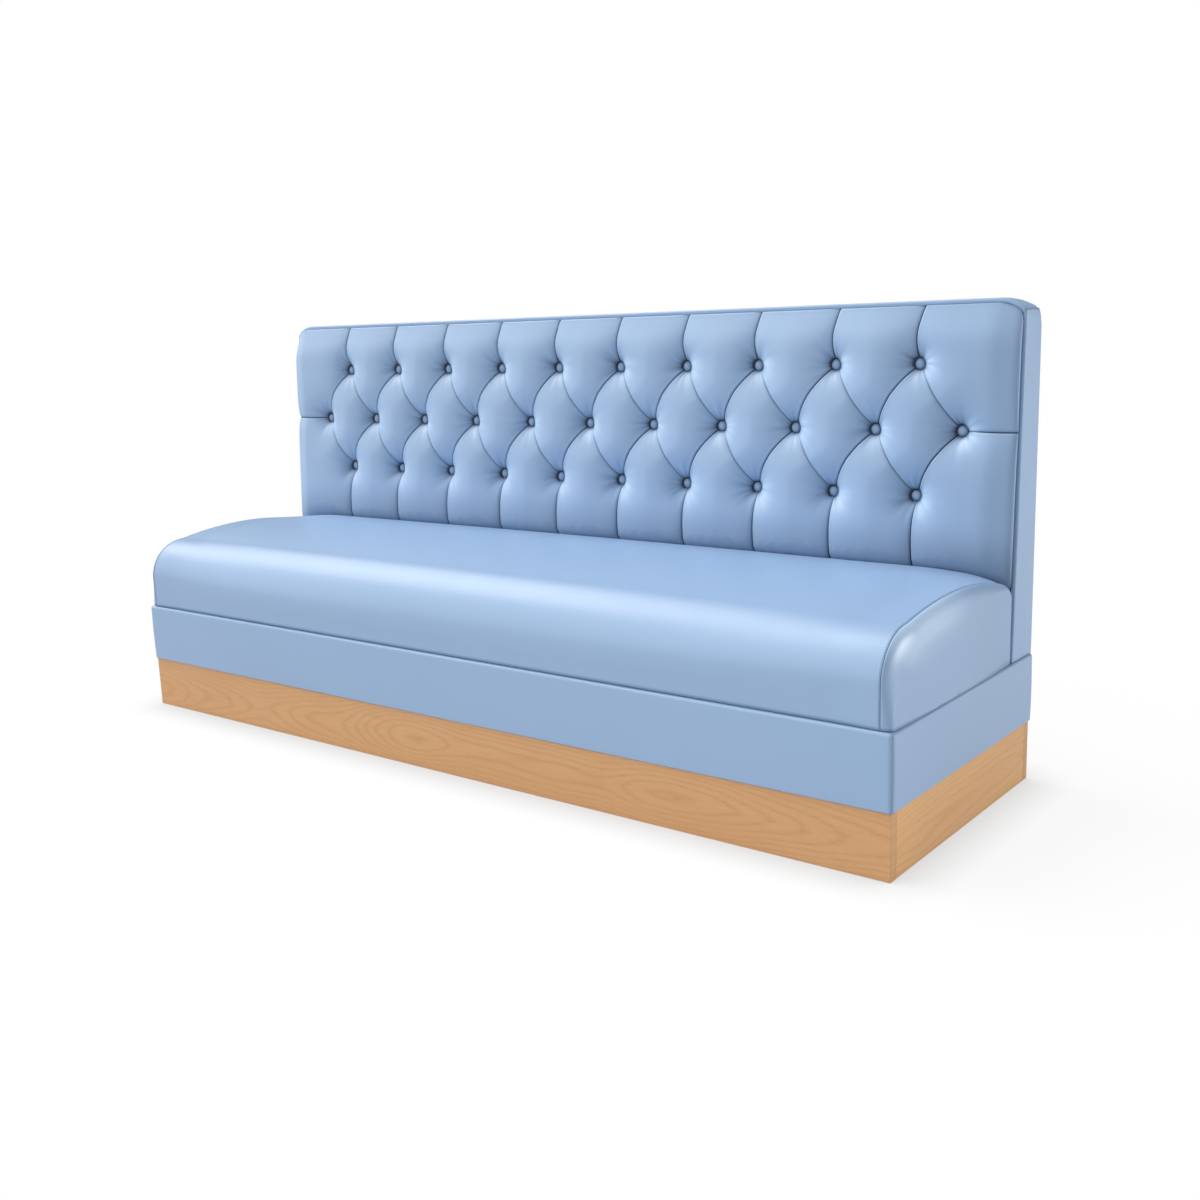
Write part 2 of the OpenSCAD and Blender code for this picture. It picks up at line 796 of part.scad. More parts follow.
// The middle of each button's seat on the pad's flat rear, with +Z square to the pad
module at_buttons() {
    for (b = buttons)
        translate([b[0] * pitch, pad_plane(button_z(b[1])), button_z(b[1])])
            rotate([90 - lean_angle, 0, 0]) children();
}

back_inset = border_skin + border_board;
tie_depth = (back_foam_slab + button_board) * cos(lean_angle);
slab_depth = pad_recess + back_foam_slab;
top_rail_bottom = rear_top - top_rail_lap;

module button_bore() {
    translate([0, 0, -tie_depth - overrun])
        cylinder(d = twine_d + 2 * clear, h = tie_depth + 2 * overrun);
}

module back_button_board() {
    color(PLYWOOD) difference() {
        intersection() {
            leaning_slab(slab_depth, board_depth, border_inner, back_bottom, back_height);
            back_block(back_inset);
        }
        at_buttons() button_bore();
    }
}

module back_foam() {
    color(FOAM) difference() {
        intersection() {
            leaning_slab(pad_recess, slab_depth, pad_half, pad_bottom, pad_top);
            back_block(back_inset + pad_gap);
        }
        at_buttons() button_bore();
    }
}

// A frame member behind the plywood: a leaning front and an upright rear
module frame_member(from, to, low, high) {
    yz_plate([[front_y(low) + board_depth, low], [frame_rear, low],
              [frame_rear, high], [front_y(high) + board_depth, high]], from, to);
}

module back_bottom_rail() {
    inner = border_inner - stile;
    color(PLYWOOD) difference() {
        frame_member(-inner, inner, back_bottom, back_bottom + bottom_rail_height);
        back_bolt_places() bolt_bore(back_bottom, back_bottom + bottom_rail_height);
    }
}

module back_top_rail() {
    color(PLYWOOD) intersection() {
        frame_member(-border_inner, border_inner, top_rail_bottom, back_height);
        back_block(back_inset);
    }
}

module back_left_stile() {
    color(PLYWOOD) frame_member(-border_inner, -border_inner + stile, back_bottom, top_rail_bottom);
}
module back_right_stile() {
    color(PLYWOOD) frame_member(border_inner - stile, border_inner, back_bottom, top_rail_bottom);
}

module back_uprights() {
    color(PLYWOOD) for (share = upright_pitch_shares)
        frame_member(share * pitch - stile / 2, share * pitch + stile / 2,
                     back_bottom + bottom_rail_height, top_rail_bottom);
}

// The shell between two insets of the back's block: borders and the boards under them
module back_shell(outer, inner) {
    difference() {
        back_block(outer);
        back_block(inner, overrun);
    }
}

module back_side_shell(side, outer, inner) {
    far = side * (half_length + overrun);
    near = side * (half_length - inner);
    intersection() {
        back_shell(outer, inner);
        slice(min(near, far), max(near, far), back_bottom + soft_clear, border_top);
    }
}

module back_left_border_board() { color(HARDBOARD) back_side_shell(-1, border_skin, back_inset); }
module back_right_border_board() { color(HARDBOARD) back_side_shell(1, border_skin, back_inset); }
module back_left_border() { color(VINYL) back_side_shell(-1, 0, border_skin); }
module back_right_border() { color(VINYL) back_side_shell(1, 0, border_skin); }

// Over the top and down the rounded rear edge, where it lies between the side borders
module back_top_shell(outer, inner) {
    reach = half_length + overrun;
    intersection() {
        back_shell(outer, inner);
        slice(-reach, reach, border_top, back_height + overrun);
    }
    intersection() {
        difference() {
            yz_plate(back_profile(outer, 0), -half_length + inner, half_length - inner);
            yz_plate(back_profile(inner, overrun), -reach, reach);
        }
        slice(-reach, reach, rear_top, border_top + overrun);
    }
}

module back_top_border_board() { color(HARDBOARD) union() back_top_shell(border_skin, back_inset); }
module back_top_border() { color(VINYL) union() back_top_shell(0, border_skin); }

module rear_sheet(near, far) {
    box([-frame_half, back_rear - near, back_bottom + soft_clear],
        [frame_half, back_rear - far, rear_top]);
}

module back_rear_board() { color(HARDBOARD) rear_sheet(rear_skin + rear_board, rear_skin); }
module back_rear_cover() { color(VINYL) rear_sheet(rear_skin, 0); }

// Bolts up through the deck into the bottom rail
back_bolt_shares = [-0.85, -0.2, 0.2, 0.85];
back_bolt_y = front_y(back_bottom) + board_depth + washer_d / 2;

module back_bolt_places() {
    for (share = back_bolt_shares)
        translate([share * base_inner_x, back_bolt_y, 0]) children();
}

module back_bolts() {
    back_bolt_places() bolt(deck_bottom - washer,
                            back_bottom + bottom_rail_height + 2 * bolt_head_height);
}
module back_washers() { back_bolt_places() washer_at(deck_bottom - washer); }
module back_nuts() { back_bolt_places() nut(back_bottom + bottom_rail_height); }

// Buttons, their twines and the discs that these are tied to
module back_buttons() {
    rise = tuft_floor * cos(lean_angle);
    color(VINYL) at_buttons() translate([0, 0, rise]) rotate_extrude()
        polygon(concat([[0, 0]], arc([0, 0], button_d / 2, button_dome, 0, 90, arc_steps)));
}

module back_twines() {
    color(TWINE) at_buttons() translate([0, 0, -tie_depth - tie_disc])
        cylinder(d = twine_d, h = tie_depth + tie_disc);
}

module back_tie_discs() {
    color(STEEL) at_buttons() translate([0, 0, -tie_depth - tie_disc]) difference() {
        cylinder(d = tie_disc_d, h = tie_disc);
        translate([0, 0, -overrun]) cylinder(d = twine_d + 2 * clear, h = tie_disc + 2 * overrun);
    }
}

// THE BUTTONED COVER
// A lattice with six columns to a pitch and three rows to a row step, so that buttons and
// pleats fall on its points. Each button has a flat eight-sided seat in the cover.

columns_in = 6 * side_pitches;
columns = columns_in + 2;
rows_below_count = 7;
rows_above_count = 5;
row_count = rows_below_count + rows_above_count + 1;
edge_column_share = 0.9;    // where the last column but one stands in the soft edge
lower_row_share = 0.5;      // the row between the bottom buttons and the seat
seat_lap = 2;               // the pad is full this far above the seat
roll_under = 31;            // height over which the pad rolls under, behind the seat
foot_depth = 10;            // thickness of the pad behind the seat
button_seat = button_d / 2 + clear;

function column_x(i) =
    let (a = abs(i))
    sign(i) * (a <= columns_in ? a * pitch / 6
             : a < columns ? pad_half - pad_edge * edge_column_share : pad_half);

// Top of the pad, which follows the curve of the top border at its ends
function pad_top_at(x) =
    corner_z + sqrt(pow(pad_top - corner_z, 2) - pow(max(0, abs(x) - corner_x), 2));

// Where the pad stops being full, just above the seat
function tuck_z(x) = crown_z(x, seat_rear - rear_roll) + seat_lap;

function row_z(j, x) =
    j >= -3 && j <= 3 ? button_z(j / 3)
    : j == 4 ? pad_top_at(x) - pad_edge * edge_column_share
    : j == 5 ? pad_top_at(x)
    : j == -4 ? mixed(button_z(-1), tuck_z(x), lower_row_share)
    : j == -5 ? tuck_z(x)
    : j == -6 ? tuck_z(x) - roll_under : pad_bottom;

// Pleats as pairs of ends: slanting between the rows, upright above and below, level at the ends
pleats = concat(
    [for (b = buttons, s = [-1, 1]) if (b[1] != 0)
        [[b[0] * pitch, button_z(b[1])], [(b[0] + s / 2) * pitch, middle_row]]],
    [for (b = buttons) if (b[1] != 0)
        [[b[0] * pitch, button_z(b[1])], [b[0] * pitch, b[1] > 0 ? pad_top : pad_bottom]]],
    [for (s = [-1, 1])
        [[s * side_pitches * pitch, middle_row], [s * pad_half, middle_row]]]
);

function to_line(p, a, b) =
    let (t = max(0, min(1, (p - a) * (b - a) / ((b - a) * (b - a)))))
    norm(p - a - t * (b - a));

function to_pleat(p) = min([for (l = pleats) to_line(p, l[0], l[1])]);
function to_button(p) = min([for (b = buttons) norm(p - [b[0] * pitch, button_z(b[1])])]);

// Thickness of the pad in front of its flat rear
function tuft_depth(x, z) =
    let (p = [x, z],
         up = (z - tuck_z(x)) / (pad_top - tuck_z(x)),
         swell = mixed(swell_low, swell_high, up),
         pleat = pleat_share * exp(-to_pleat(p) / pleat_reach),
         tuft = (1 - pleat_share) * exp(-to_button(p) / tuft_reach))
    tuft_floor + swell * (1 - pleat - tuft);

function is_button(i, j) =
    abs(j) <= 3 && j % 3 == 0 && (i - j) % 6 == 0 && (i + j) % 6 == 0 && abs(i) <= columns_in;

function pad_depth(i, j, x, z) =
    abs(i) == columns || j == rows_above_count ? pad_recess
    : j < -5 ? foot_depth
    : is_button(i, j) ? tuft_floor : tuft_depth(x, z);

// The lattice point in X and Z
function lattice(i, j) = let (x = column_x(i)) [x, row_z(j, x)];

function pad_point(p, depth) = [p[0], pad_plane(p[1]) - depth, p[1]];

width = 2 * columns + 1;
function index(i, j) = (j + rows_below_count) * width + i + columns;

// Neighbours round a button, and the seat's corners towards them
around_signs = [[1, 0], [1, 1], [0, 1], [-1, 1], [-1, 0], [-1, -1], [0, -1], [1, -1]];
button_cells = [for (j = [-3, 0, 3], i = [-columns_in : columns_in]) if (is_button(i, j)) [i, j]];
seat_start = width * row_count;

function button_number(i, j) = search([[i, j]], button_cells)[0];
function seat_index(i, j, di, dj) =
    seat_start + 8 * button_number(i, j) + search([[di, dj]], around_signs)[0];

seat_points = [for (c = button_cells, d = around_signs)
    let (a = lattice(c[0], c[1]), b = lattice(c[0] + d[0], c[1] + d[1]),
         way = (b - a) / norm(b - a))
    pad_point(a + button_seat * way, tuft_floor)];

// One triangle of the lattice; at a button it stops at the seat
function tuft_triangle(a, b, c) =
    is_button(a[0], a[1]) ? seat_triangle(a, b, c)
    : is_button(b[0], b[1]) ? seat_triangle(b, c, a)
    : is_button(c[0], c[1]) ? seat_triangle(c, a, b)
    : [[index(a[0], a[1]), index(b[0], b[1]), index(c[0], c[1])]];

function seat_triangle(a, b, c) =
    let (ia = index(a[0], a[1]), ib = index(b[0], b[1]), ic = index(c[0], c[1]),
         sb = seat_index(a[0], a[1], b[0] - a[0], b[1] - a[1]),
         sc = seat_index(a[0], a[1], c[0] - a[0], c[1] - a[1]))
    [[ia, sb, sc], [sb, ib, ic], [sb, ic, sc]];

// A cell is cut along a pleat where one runs through it
function cell_faces(i, j) =
    let (a = [i, j], b = [i + 1, j], c = [i + 1, j + 1], d = [i, j + 1])
    (i + j + 1) % 6 == 0
        ? concat(tuft_triangle(a, d, b), tuft_triangle(b, d, c))
        : concat(tuft_triangle(a, c, b), tuft_triangle(a, d, c));

// The lattice's rim, in order, and the same points on the flat rear
rim = concat(
    [for (i = [-columns : columns - 1]) [i, -rows_below_count]],
    [for (j = [-rows_below_count : rows_above_count - 1]) [columns, j]],
    [for (i = [columns : -1 : -columns + 1]) [i, rows_above_count]],
    [for (j = [rows_above_count : -1 : -rows_below_count + 1]) [-columns, j]]
);
rear_start = seat_start + len(seat_points);
rear_middle = rear_start + len(rim);

module back_tufted_cover() {
    n = len(rim);
    points = concat(
        [for (j = [-rows_below_count : rows_above_count], i = [-columns : columns])
            let (p = lattice(i, j)) pad_point(p, pad_depth(i, j, p[0], p[1]))],
        seat_points,
        [for (r = rim) pad_point(lattice(r[0], r[1]), 0)],
        [pad_point([0, middle_row], 0)]
    );
    front = [for (j = [-rows_below_count : rows_above_count - 1], i = [-columns : columns - 1])
        each cell_faces(i, j)];
    walls = [for (k = [0 : n - 1])
        let (m = (k + 1) % n, a = index(rim[k][0], rim[k][1]), b = index(rim[m][0], rim[m][1]))
        each quad(b, rear_start + m, rear_start + k, a)];
    rear = [for (k = [0 : n - 1]) [rear_start + k, rear_start + (k + 1) % n, rear_middle]];
    color(VINYL) polyhedron(points, concat(front, walls, rear));
}

plinth_front_board();
plinth_rear_board();
plinth_left_board();
plinth_right_board();
plinth_cross_rails();
plinth_corner_blocks();
plinth_block_screws();
base_front_rail();
base_rear_rail();
base_left_rail();
base_right_rail();
base_cross_members();
base_corner_blocks();
base_block_screws();
base_deck();
base_deck_screws();
base_bolts();
base_nuts();
band_front_foam();
band_rear_foam();
band_left_foam();
band_right_foam();
band_front_cover();
band_rear_cover();
band_left_cover();
band_right_cover();
seat_board_panel();
seat_foam();
seat_cover();
seat_left_end();
seat_right_end();
seat_bottom_cloth();
seat_bolts();
seat_washers();
seat_nuts();
back_bottom_rail();
back_top_rail();
back_left_stile();
back_right_stile();
back_uprights();
back_button_board();
back_foam();
back_tufted_cover();
back_buttons();
back_twines();
back_tie_discs();
back_left_border_board();
back_right_border_board();
back_top_border_board();
back_left_border();
back_right_border();
back_top_border();
back_rear_board();
back_rear_cover();
back_bolts();
back_washers();
back_nuts();
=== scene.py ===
# %% [markdown]
# # An upholstered banquette bench
#
# A banquette is a fixed-looking bench for a dining room: a timber plinth, a padded base box, a
# foam seat and an upright, deep-buttoned back. The hard parts arrive as a finished frame, in
# metres, and keep their places. This lesson dresses them: soft pieces with seams and folds
# stand in for the plain soft solids, and every surface gets a finish made from nodes.

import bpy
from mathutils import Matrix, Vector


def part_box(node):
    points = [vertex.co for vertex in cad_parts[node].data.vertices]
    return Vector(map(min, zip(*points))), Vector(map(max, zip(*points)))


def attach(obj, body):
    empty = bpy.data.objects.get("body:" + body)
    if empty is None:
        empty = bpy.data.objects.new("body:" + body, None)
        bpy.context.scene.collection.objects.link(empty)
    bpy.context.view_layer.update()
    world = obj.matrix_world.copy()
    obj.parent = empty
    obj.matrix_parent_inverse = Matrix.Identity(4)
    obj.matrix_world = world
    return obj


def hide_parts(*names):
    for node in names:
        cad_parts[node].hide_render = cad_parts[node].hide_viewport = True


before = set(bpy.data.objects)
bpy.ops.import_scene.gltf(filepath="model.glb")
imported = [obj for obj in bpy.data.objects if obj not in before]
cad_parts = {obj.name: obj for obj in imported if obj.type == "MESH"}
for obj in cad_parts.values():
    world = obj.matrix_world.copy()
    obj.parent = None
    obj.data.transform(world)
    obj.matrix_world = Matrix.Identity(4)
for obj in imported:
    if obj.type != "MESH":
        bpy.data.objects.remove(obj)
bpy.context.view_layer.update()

import math

import bmesh
import bpy
import numpy as np
from mathutils import Matrix, Vector

# %% [markdown]
# ## The camera
#
# The view is from the right of the bench and a little below the top of its back. A camera can be
# aimed with a Track To constraint, but a level eye and a measured direction are needed here, so
# its three axes are worked out from a heading, a tilt and a roll and written as a matrix.

# %% Camera
FRAME_PIXELS, FOCAL_PIXELS, SENSOR = 1200, 1317.86, 36.0
EYE = (1.97034, -2.24437, 0.94141)
HEADING, TILT, ROLL = 0.66889, 0.20489, -0.03528

lens = bpy.data.cameras.new("view")
lens.sensor_width = SENSOR
lens.lens = FOCAL_PIXELS * SENSOR / FRAME_PIXELS
camera = bpy.data.objects.new("view", lens)
bpy.context.scene.collection.objects.link(camera)
forward = np.array([-math.sin(HEADING) * math.cos(TILT), math.cos(HEADING) * math.cos(TILT),
                    -math.sin(TILT)])
across = np.array([math.cos(HEADING), math.sin(HEADING), 0.0])
above = np.cross(across, forward)
right = math.cos(ROLL) * across + math.sin(ROLL) * above
up = math.cos(ROLL) * above - math.sin(ROLL) * across
camera.matrix_world = Matrix(
    [[right[i], up[i], -forward[i], EYE[i]] for i in range(3)] + [[0, 0, 0, 1]])
bpy.context.scene.camera = camera
print("lens", round(lens.lens, 2), "mm")

# %% [markdown]
# ## Writing materials as sums
#
# A material is a tree of nodes. Wiring dozens of Math nodes by hand hides the idea, so one small
# class wraps a socket and gives it Python's operators: `1 - mask * 0.5` then adds its own nodes.
# The class that holds a tree has one method for every other kind of node.


# %% Sockets as values
class Wire:
    """A number that runs along a link between nodes."""

    def __init__(self, nodes, socket):
        self.nodes, self.socket = nodes, socket

    def __add__(self, other):
        return self.nodes.reckon("ADD", self, other)

    def __radd__(self, other):
        return self.nodes.reckon("ADD", other, self)

    def __sub__(self, other):
        return self.nodes.reckon("SUBTRACT", self, other)

    def __rsub__(self, other):
        return self.nodes.reckon("SUBTRACT", other, self)

    def __mul__(self, other):
        return self.nodes.reckon("MULTIPLY", self, other)

    def __rmul__(self, other):
        return self.nodes.reckon("MULTIPLY", other, self)

    def __truediv__(self, other):
        return self.nodes.reckon("DIVIDE", self, other)

    def __pow__(self, other):
        return self.nodes.reckon("POWER", self, other)


class Nodes:
    """A tree of nodes, with one way to add any of them."""

    def __init__(self, tree):
        self.tree = tree

    def node(self, kind, settings=None, sockets=None, out=0):
        """Adds a node, with its settings first and then the values or links of its sockets."""
        made = self.tree.nodes.new(kind)
        for key, value in (settings or {}).items():
            setattr(made, key, value)
        for key, value in (sockets or {}).items():
            self.join(made.inputs[key], value)
        return Wire(self, made.outputs[out])

    def join(self, socket, value):
        if isinstance(value, Wire):
            self.tree.links.new(value.socket, socket)
        else:
            socket.default_value = value

    def reckon(self, operation, *values):
        """Arithmetic on one number or two."""
        return self.node("ShaderNodeMath", {"operation": operation}, dict(enumerate(values)))

    def outputs(self, kind, names, sockets=None):
        """Several outputs of one node."""
        made = self.node(kind, None, sockets).socket.node
        return [Wire(self, made.outputs[name]) for name in names]


print("sockets can be added and multiplied")


# %% Materials
def linear(colour):
    """A colour in 0 to 255 steps, as a screen shows it, turned into light."""
    shares = [c / 255 for c in colour]
    return [c / 12.92 if c <= 0.04045 else ((c + 0.055) / 1.055) ** 2.4 for c in shares] + [1.0]


class Finish(Nodes):
    """A material with a Principled surface, and ways to feed it."""

    def __init__(self, name, **values):
        self.material = bpy.data.materials.new(name)
        self.material.use_nodes = True
        super().__init__(self.material.node_tree)
        self.surface = self.tree.nodes["Principled BSDF"]
        self.feed(**values)

    def feed(self, **values):
        """Sets or links the surface's own sockets: base_color feeds Base Color."""
        for key, value in values.items():
            label = key.replace("_", " ").title().replace("Ior", "IOR")
            self.join(self.surface.inputs[label], value)

    def place(self):
        """Where a point lies on the object, in metres: a vector and its three numbers."""
        spot = self.node("ShaderNodeTexCoord", out="Object")
        return spot, self.outputs("ShaderNodeSeparateXYZ", "XYZ", {0: spot})

    def attribute(self, name):
        """A number that is stored on the mesh, point by point."""
        return self.node("ShaderNodeAttribute", {"attribute_name": name}, out="Fac")

    def vector(self, x, y, z=0.0):
        return self.node("ShaderNodeCombineXYZ", None, {0: x, 1: y, 2: z})

    def stretched(self, vector, scale):
        return self.node("ShaderNodeVectorMath", {"operation": "MULTIPLY"}, {0: vector, 1: scale})

    def noise(self, vector, scale, detail=2.0, rough=0.5):
        return self.node("ShaderNodeTexNoise", None,
                         {"Vector": vector, "Scale": scale, "Detail": detail, "Roughness": rough})

    def blend(self, share, first, second):
        """A colour between two colours."""
        return self.node("ShaderNodeMix", {"data_type": "RGBA"},
                         {"Factor": share, 6: first, 7: second}, out=2)

    def limited(self, value, low, high):
        """A number moved from the range low to high to the range 0 to 1, and kept in it."""
        return self.node("ShaderNodeMapRange", None,
                         {"Value": value, "From Min": low, "From Max": high})

    def bumped(self, height, distance, strength=1.0):
        self.feed(normal=self.node("ShaderNodeBump", None, {
            "Height": height, "Distance": distance, "Strength": strength}, out="Normal"))


print("a finish feeds its surface by name")

# %% [markdown]
# ## Vinyl
#
# The cover is smooth satin vinyl, pale powder blue. Up close it has a pressed grain of shallow
# pebbles about a millimetre across. Shade is painted into its folds, hollows and seams, and
# highlights are painted onto crests and stretched places. The same number makes the folds a
# little rougher, and hands and knees rub the seat's crest a little smoother. A texture painted by
# hand could say where, but the sewing knows it already: each mesh stores a number, above 0 where
# shade is painted and below 0 where a highlight is painted.
#
# Round each button the vinyl is gathered into fine rays. There are hundreds, and no two are
# alike, so they aren't built. They are noise read on a small circle round the nearest button,
# which makes it change with the direction and hardly with the distance. A second stored number
# says how hard the vinyl is drawn there.

# %% Vinyl grain
PITCH, ROW_STEP, MIDDLE_ROW = 0.186, 0.131, 0.715
GRAIN_DEPTH, RAY_DEPTH, RAY_SHADE, RAY_COUNT = 0.00004, 0.0028, 1.05, 3.2
PEBBLES, PORES = 850.0, 2400.0
vinyl = Finish("vinyl", specular_ior_level=0.45, coat_weight=0.06, coat_roughness=0.3)
where, (along_x, _, up_z) = vinyl.place()
clouds, mottle = vinyl.noise(where, 2.2, 3.0), vinyl.noise(where, 14.0, 4.0)
pebbles = vinyl.node("ShaderNodeTexVoronoi", {"feature": "F1"}, {"Vector": where, "Scale": PEBBLES})
pressed = pebbles * 0.7 + vinyl.noise(where, PORES, 2.0) * 0.5
painted_light, gathered = vinyl.attribute("painted_light"), vinyl.attribute("drawn")
print("grain of", round(1000 / PEBBLES, 1), "mm")


# %% Rays round the buttons
def offset_from(value, start):
    """How far a number is from the nearest of an even row of places, and which one it is."""
    count = vinyl.reckon("ROUND", (value - start) / PITCH)
    return value - start - count * PITCH, count


level = up_z - MIDDLE_ROW
half = vinyl.reckon("SIGN", level)
x_mid, count_mid = offset_from(along_x, 0.0)
x_out, count_out = offset_from(along_x, PITCH / 2)
z_out = level - half * ROW_STEP
r_mid, r_out = (x_mid ** 2.0 + level ** 2.0) ** 0.5, (x_out ** 2.0 + z_out ** 2.0) ** 0.5
outer = vinyl.reckon("GREATER_THAN", r_mid, r_out)
inner = 1 - outer
radius = r_mid * inner + r_out * outer + 0.0001
number = (count_mid + 20) * inner + (count_out + 50 + half * 20) * outer
rays = vinyl.noise(vinyl.vector((x_mid * inner + x_out * outer) / radius * RAY_COUNT,
                                (level * inner + z_out * outer) / radius * RAY_COUNT,
                                number * 3.7 + radius * 14.0), 1.0, 0.0)
print("rays read at", RAY_COUNT, "round each button")

# %% Vinyl colour
POWDER_BLUE, PALER_BLUE = linear((146, 175, 210)), linear((157, 185, 218))
# The first of these is the colour of painted highlights, the second the colour of painted shade.
PAINTED_HIGHLIGHT_BLUE, PAINTED_SHADE_BLUE = linear((201, 226, 252)), linear((40, 56, 80))
SEAT_CREST = ((0.40, 0.452), (0.456, 0.47))
body = vinyl.blend(clouds * 0.55 + mottle * 0.25, POWDER_BLUE, PALER_BLUE)
# Painted shade and highlight: the stored number, plus the rays painted as light and dark streaks.
painted_shading_and_rays = painted_light + (0.5 - rays) * gathered * RAY_SHADE
with_painted_highlight = vinyl.blend(vinyl.limited(painted_shading_and_rays, 0.0, -1.0), body, PAINTED_HIGHLIGHT_BLUE)
rubbed = vinyl.limited(up_z, *SEAT_CREST[0]) * (1 - vinyl.limited(up_z, *SEAT_CREST[1]))
vinyl.feed(base_color=vinyl.blend(vinyl.limited(painted_shading_and_rays, 0.0, 1.6), with_painted_highlight, PAINTED_SHADE_BLUE),
           roughness=0.37 + mottle * 0.10 + pressed * 0.04 - rubbed * 0.03 + painted_light * 0.1)
vinyl.bumped(pressed * GRAIN_DEPTH + rays * gathered * RAY_DEPTH, 1.0)
print("vinyl has", len(vinyl.tree.nodes), "nodes")

# %% [markdown]
# ## Veneer
#
# The plinth is faced with a pale veneer. A flat-cut log shows long nested arches where the knife
# runs nearly level with the year rings. The rings are circles round the log's middle, so the
# arches come by themselves when each point's distance from a wandering middle line is cut into
# rings. Fine fibres and short pores run with the grain. Front and end boards have different
# grain directions, so the axis is an argument.

# %% Veneer finish
RING, HEART_HEIGHT, HEART_DEPTH, SCUFFED = 0.0024, 0.055, 0.022, 0.012
HEART_LIFT, HEART_SWAY, WAVER, FIBRE_DEPTH = 0.08, 0.13, 0.007, 0.0002


def veneer_finish(name, axis, across, drift, pale, dark):
    wood = Finish(name, specular_ior_level=0.25)
    spot, numbers = wood.place()
    run, height, depth = numbers[axis], numbers[2], numbers[across]

    def grain(along, up, through, *details):
        """Noise that is drawn out along the grain."""
        return wood.noise(wood.vector(run * along, height * up, depth * through), 1.0, *details)

    line = wood.vector(run, drift)
    sway = wood.noise(wood.stretched(line, (1.3, 1.0, 1.0)), 1.0, 1.5)
    above = height - HEART_HEIGHT + (wood.noise(line, 0.7, 1.0) - 0.5) * HEART_LIFT
    behind = HEART_DEPTH + sway * HEART_SWAY
    radius = (above * above + behind * behind) ** 0.5 + grain(4, 22, 4, 3.0) * WAVER
    late = wood.limited(wood.reckon("PINGPONG", radius, RING), RING / 3, RING) ** 2.0
    fibres = grain(7, 420, 60, 4.0, 0.65)
    flecks = wood.limited(grain(30, 700, 150, 2.0), 0.52, 0.72)
    pores = wood.limited(grain(55, 1500, 300, 1.0), 0.66, 0.74)
    patches = wood.noise(wood.stretched(spot, (2.0, 2.0, 9.0)), 1.0, 2.0)
    worn = wood.limited(height, SCUFFED, 0.0)
    shade = wood.blend(late * 0.22 + fibres * 0.52, linear(pale), linear(dark))
    broad = wood.blend(patches * 0.5 + flecks * 0.16, shade, linear((203, 150, 102)))
    wood.feed(base_color=wood.blend(pores * 0.28 + worn * 0.12, broad, linear((136, 92, 56))),
              roughness=0.46 + fibres * 0.12 + pores * 0.1 - late * 0.05)
    wood.bumped(fibres * 0.6 - pores + late * 0.3, FIBRE_DEPTH, 0.35)
    return wood.material


veneer_long = veneer_finish("veneer_long", 0, 1, 0.37, (233, 186, 137), (176, 124, 76))
veneer_short = veneer_finish("veneer_short", 1, 0, 5.1, (255, 206, 147), (203, 145, 87))
print("two veneers, along and across the bench")

# %% [markdown]
# ## Finishes of the hidden parts
#
# The carcass is plywood, softwood and hardboard, seen from below and when the bench is taken
# apart. Plywood shows its layers on an edge and a face grain on the flat; the two are told apart
# by how the surface faces. Softwood, hardboard, cloth and twine are streaks and specks.

# %% Carcass finishes
PLY = 0.0015


def board_finish(name, pale, dark, scale, layers=False):
    board = Finish(name, specular_ior_level=0.3)
    spot, numbers = board.place()
    streaks = board.noise(board.stretched(spot, scale), 1.0, 5.0, 0.6)
    specks = board.noise(spot, 900.0, 2.0)
    share = streaks * 0.75 + specks * 0.2
    if layers:
        facing = board.outputs("ShaderNodeSeparateXYZ", "Z", {
            0: board.node("ShaderNodeNewGeometry", out="Normal")})[0]
        edge = 1 - board.reckon("ABSOLUTE", facing)
        ply = board.reckon("PINGPONG", numbers[2], PLY)
        share = share + board.limited(ply, 0.2 * PLY, 0.8 * PLY) * edge * 0.35
    board.feed(base_color=board.blend(share, linear(pale), linear(dark)),
               roughness=0.62 + streaks * 0.2)
    board.bumped(streaks + specks * 0.4, 0.0004, 0.4)
    return board.material


plywood = board_finish("plywood", (226, 200, 160), (176, 138, 92), (4, 4, 120), True)
softwood = board_finish("softwood", (226, 190, 140), (170, 120, 72), (60, 60, 5))
hardboard = board_finish("hardboard", (138, 104, 70), (88, 62, 40), (260, 260, 260))
cloth_black = board_finish("under_cloth", (52, 54, 58), (24, 25, 28), (1400, 1400, 1400))
twine_cream = board_finish("twine", (232, 224, 206), (184, 172, 148), (900, 900, 900))
steel = Finish("steel", metallic=1.0)
spot, _ = steel.place()
scratches = steel.noise(steel.stretched(spot, (60, 60, 1500)), 1.0, 4.0, 0.6)
tarnish = steel.noise(spot, 240.0, 3.0)
steel.feed(base_color=steel.blend(tarnish * 0.8, linear((206, 209, 213)), linear((140, 142, 146))),
           roughness=0.28 + scratches * 0.22 + tarnish * 0.1)
steel.bumped(scratches, 0.0001, 0.4)
print("carcass finishes ready")

# %% [markdown]
# ## Finishes on the frame's own nodes
#
# Boards, blocks, bolts and washers have the right shape already, so they only change material.
# The names say what each one is made of.

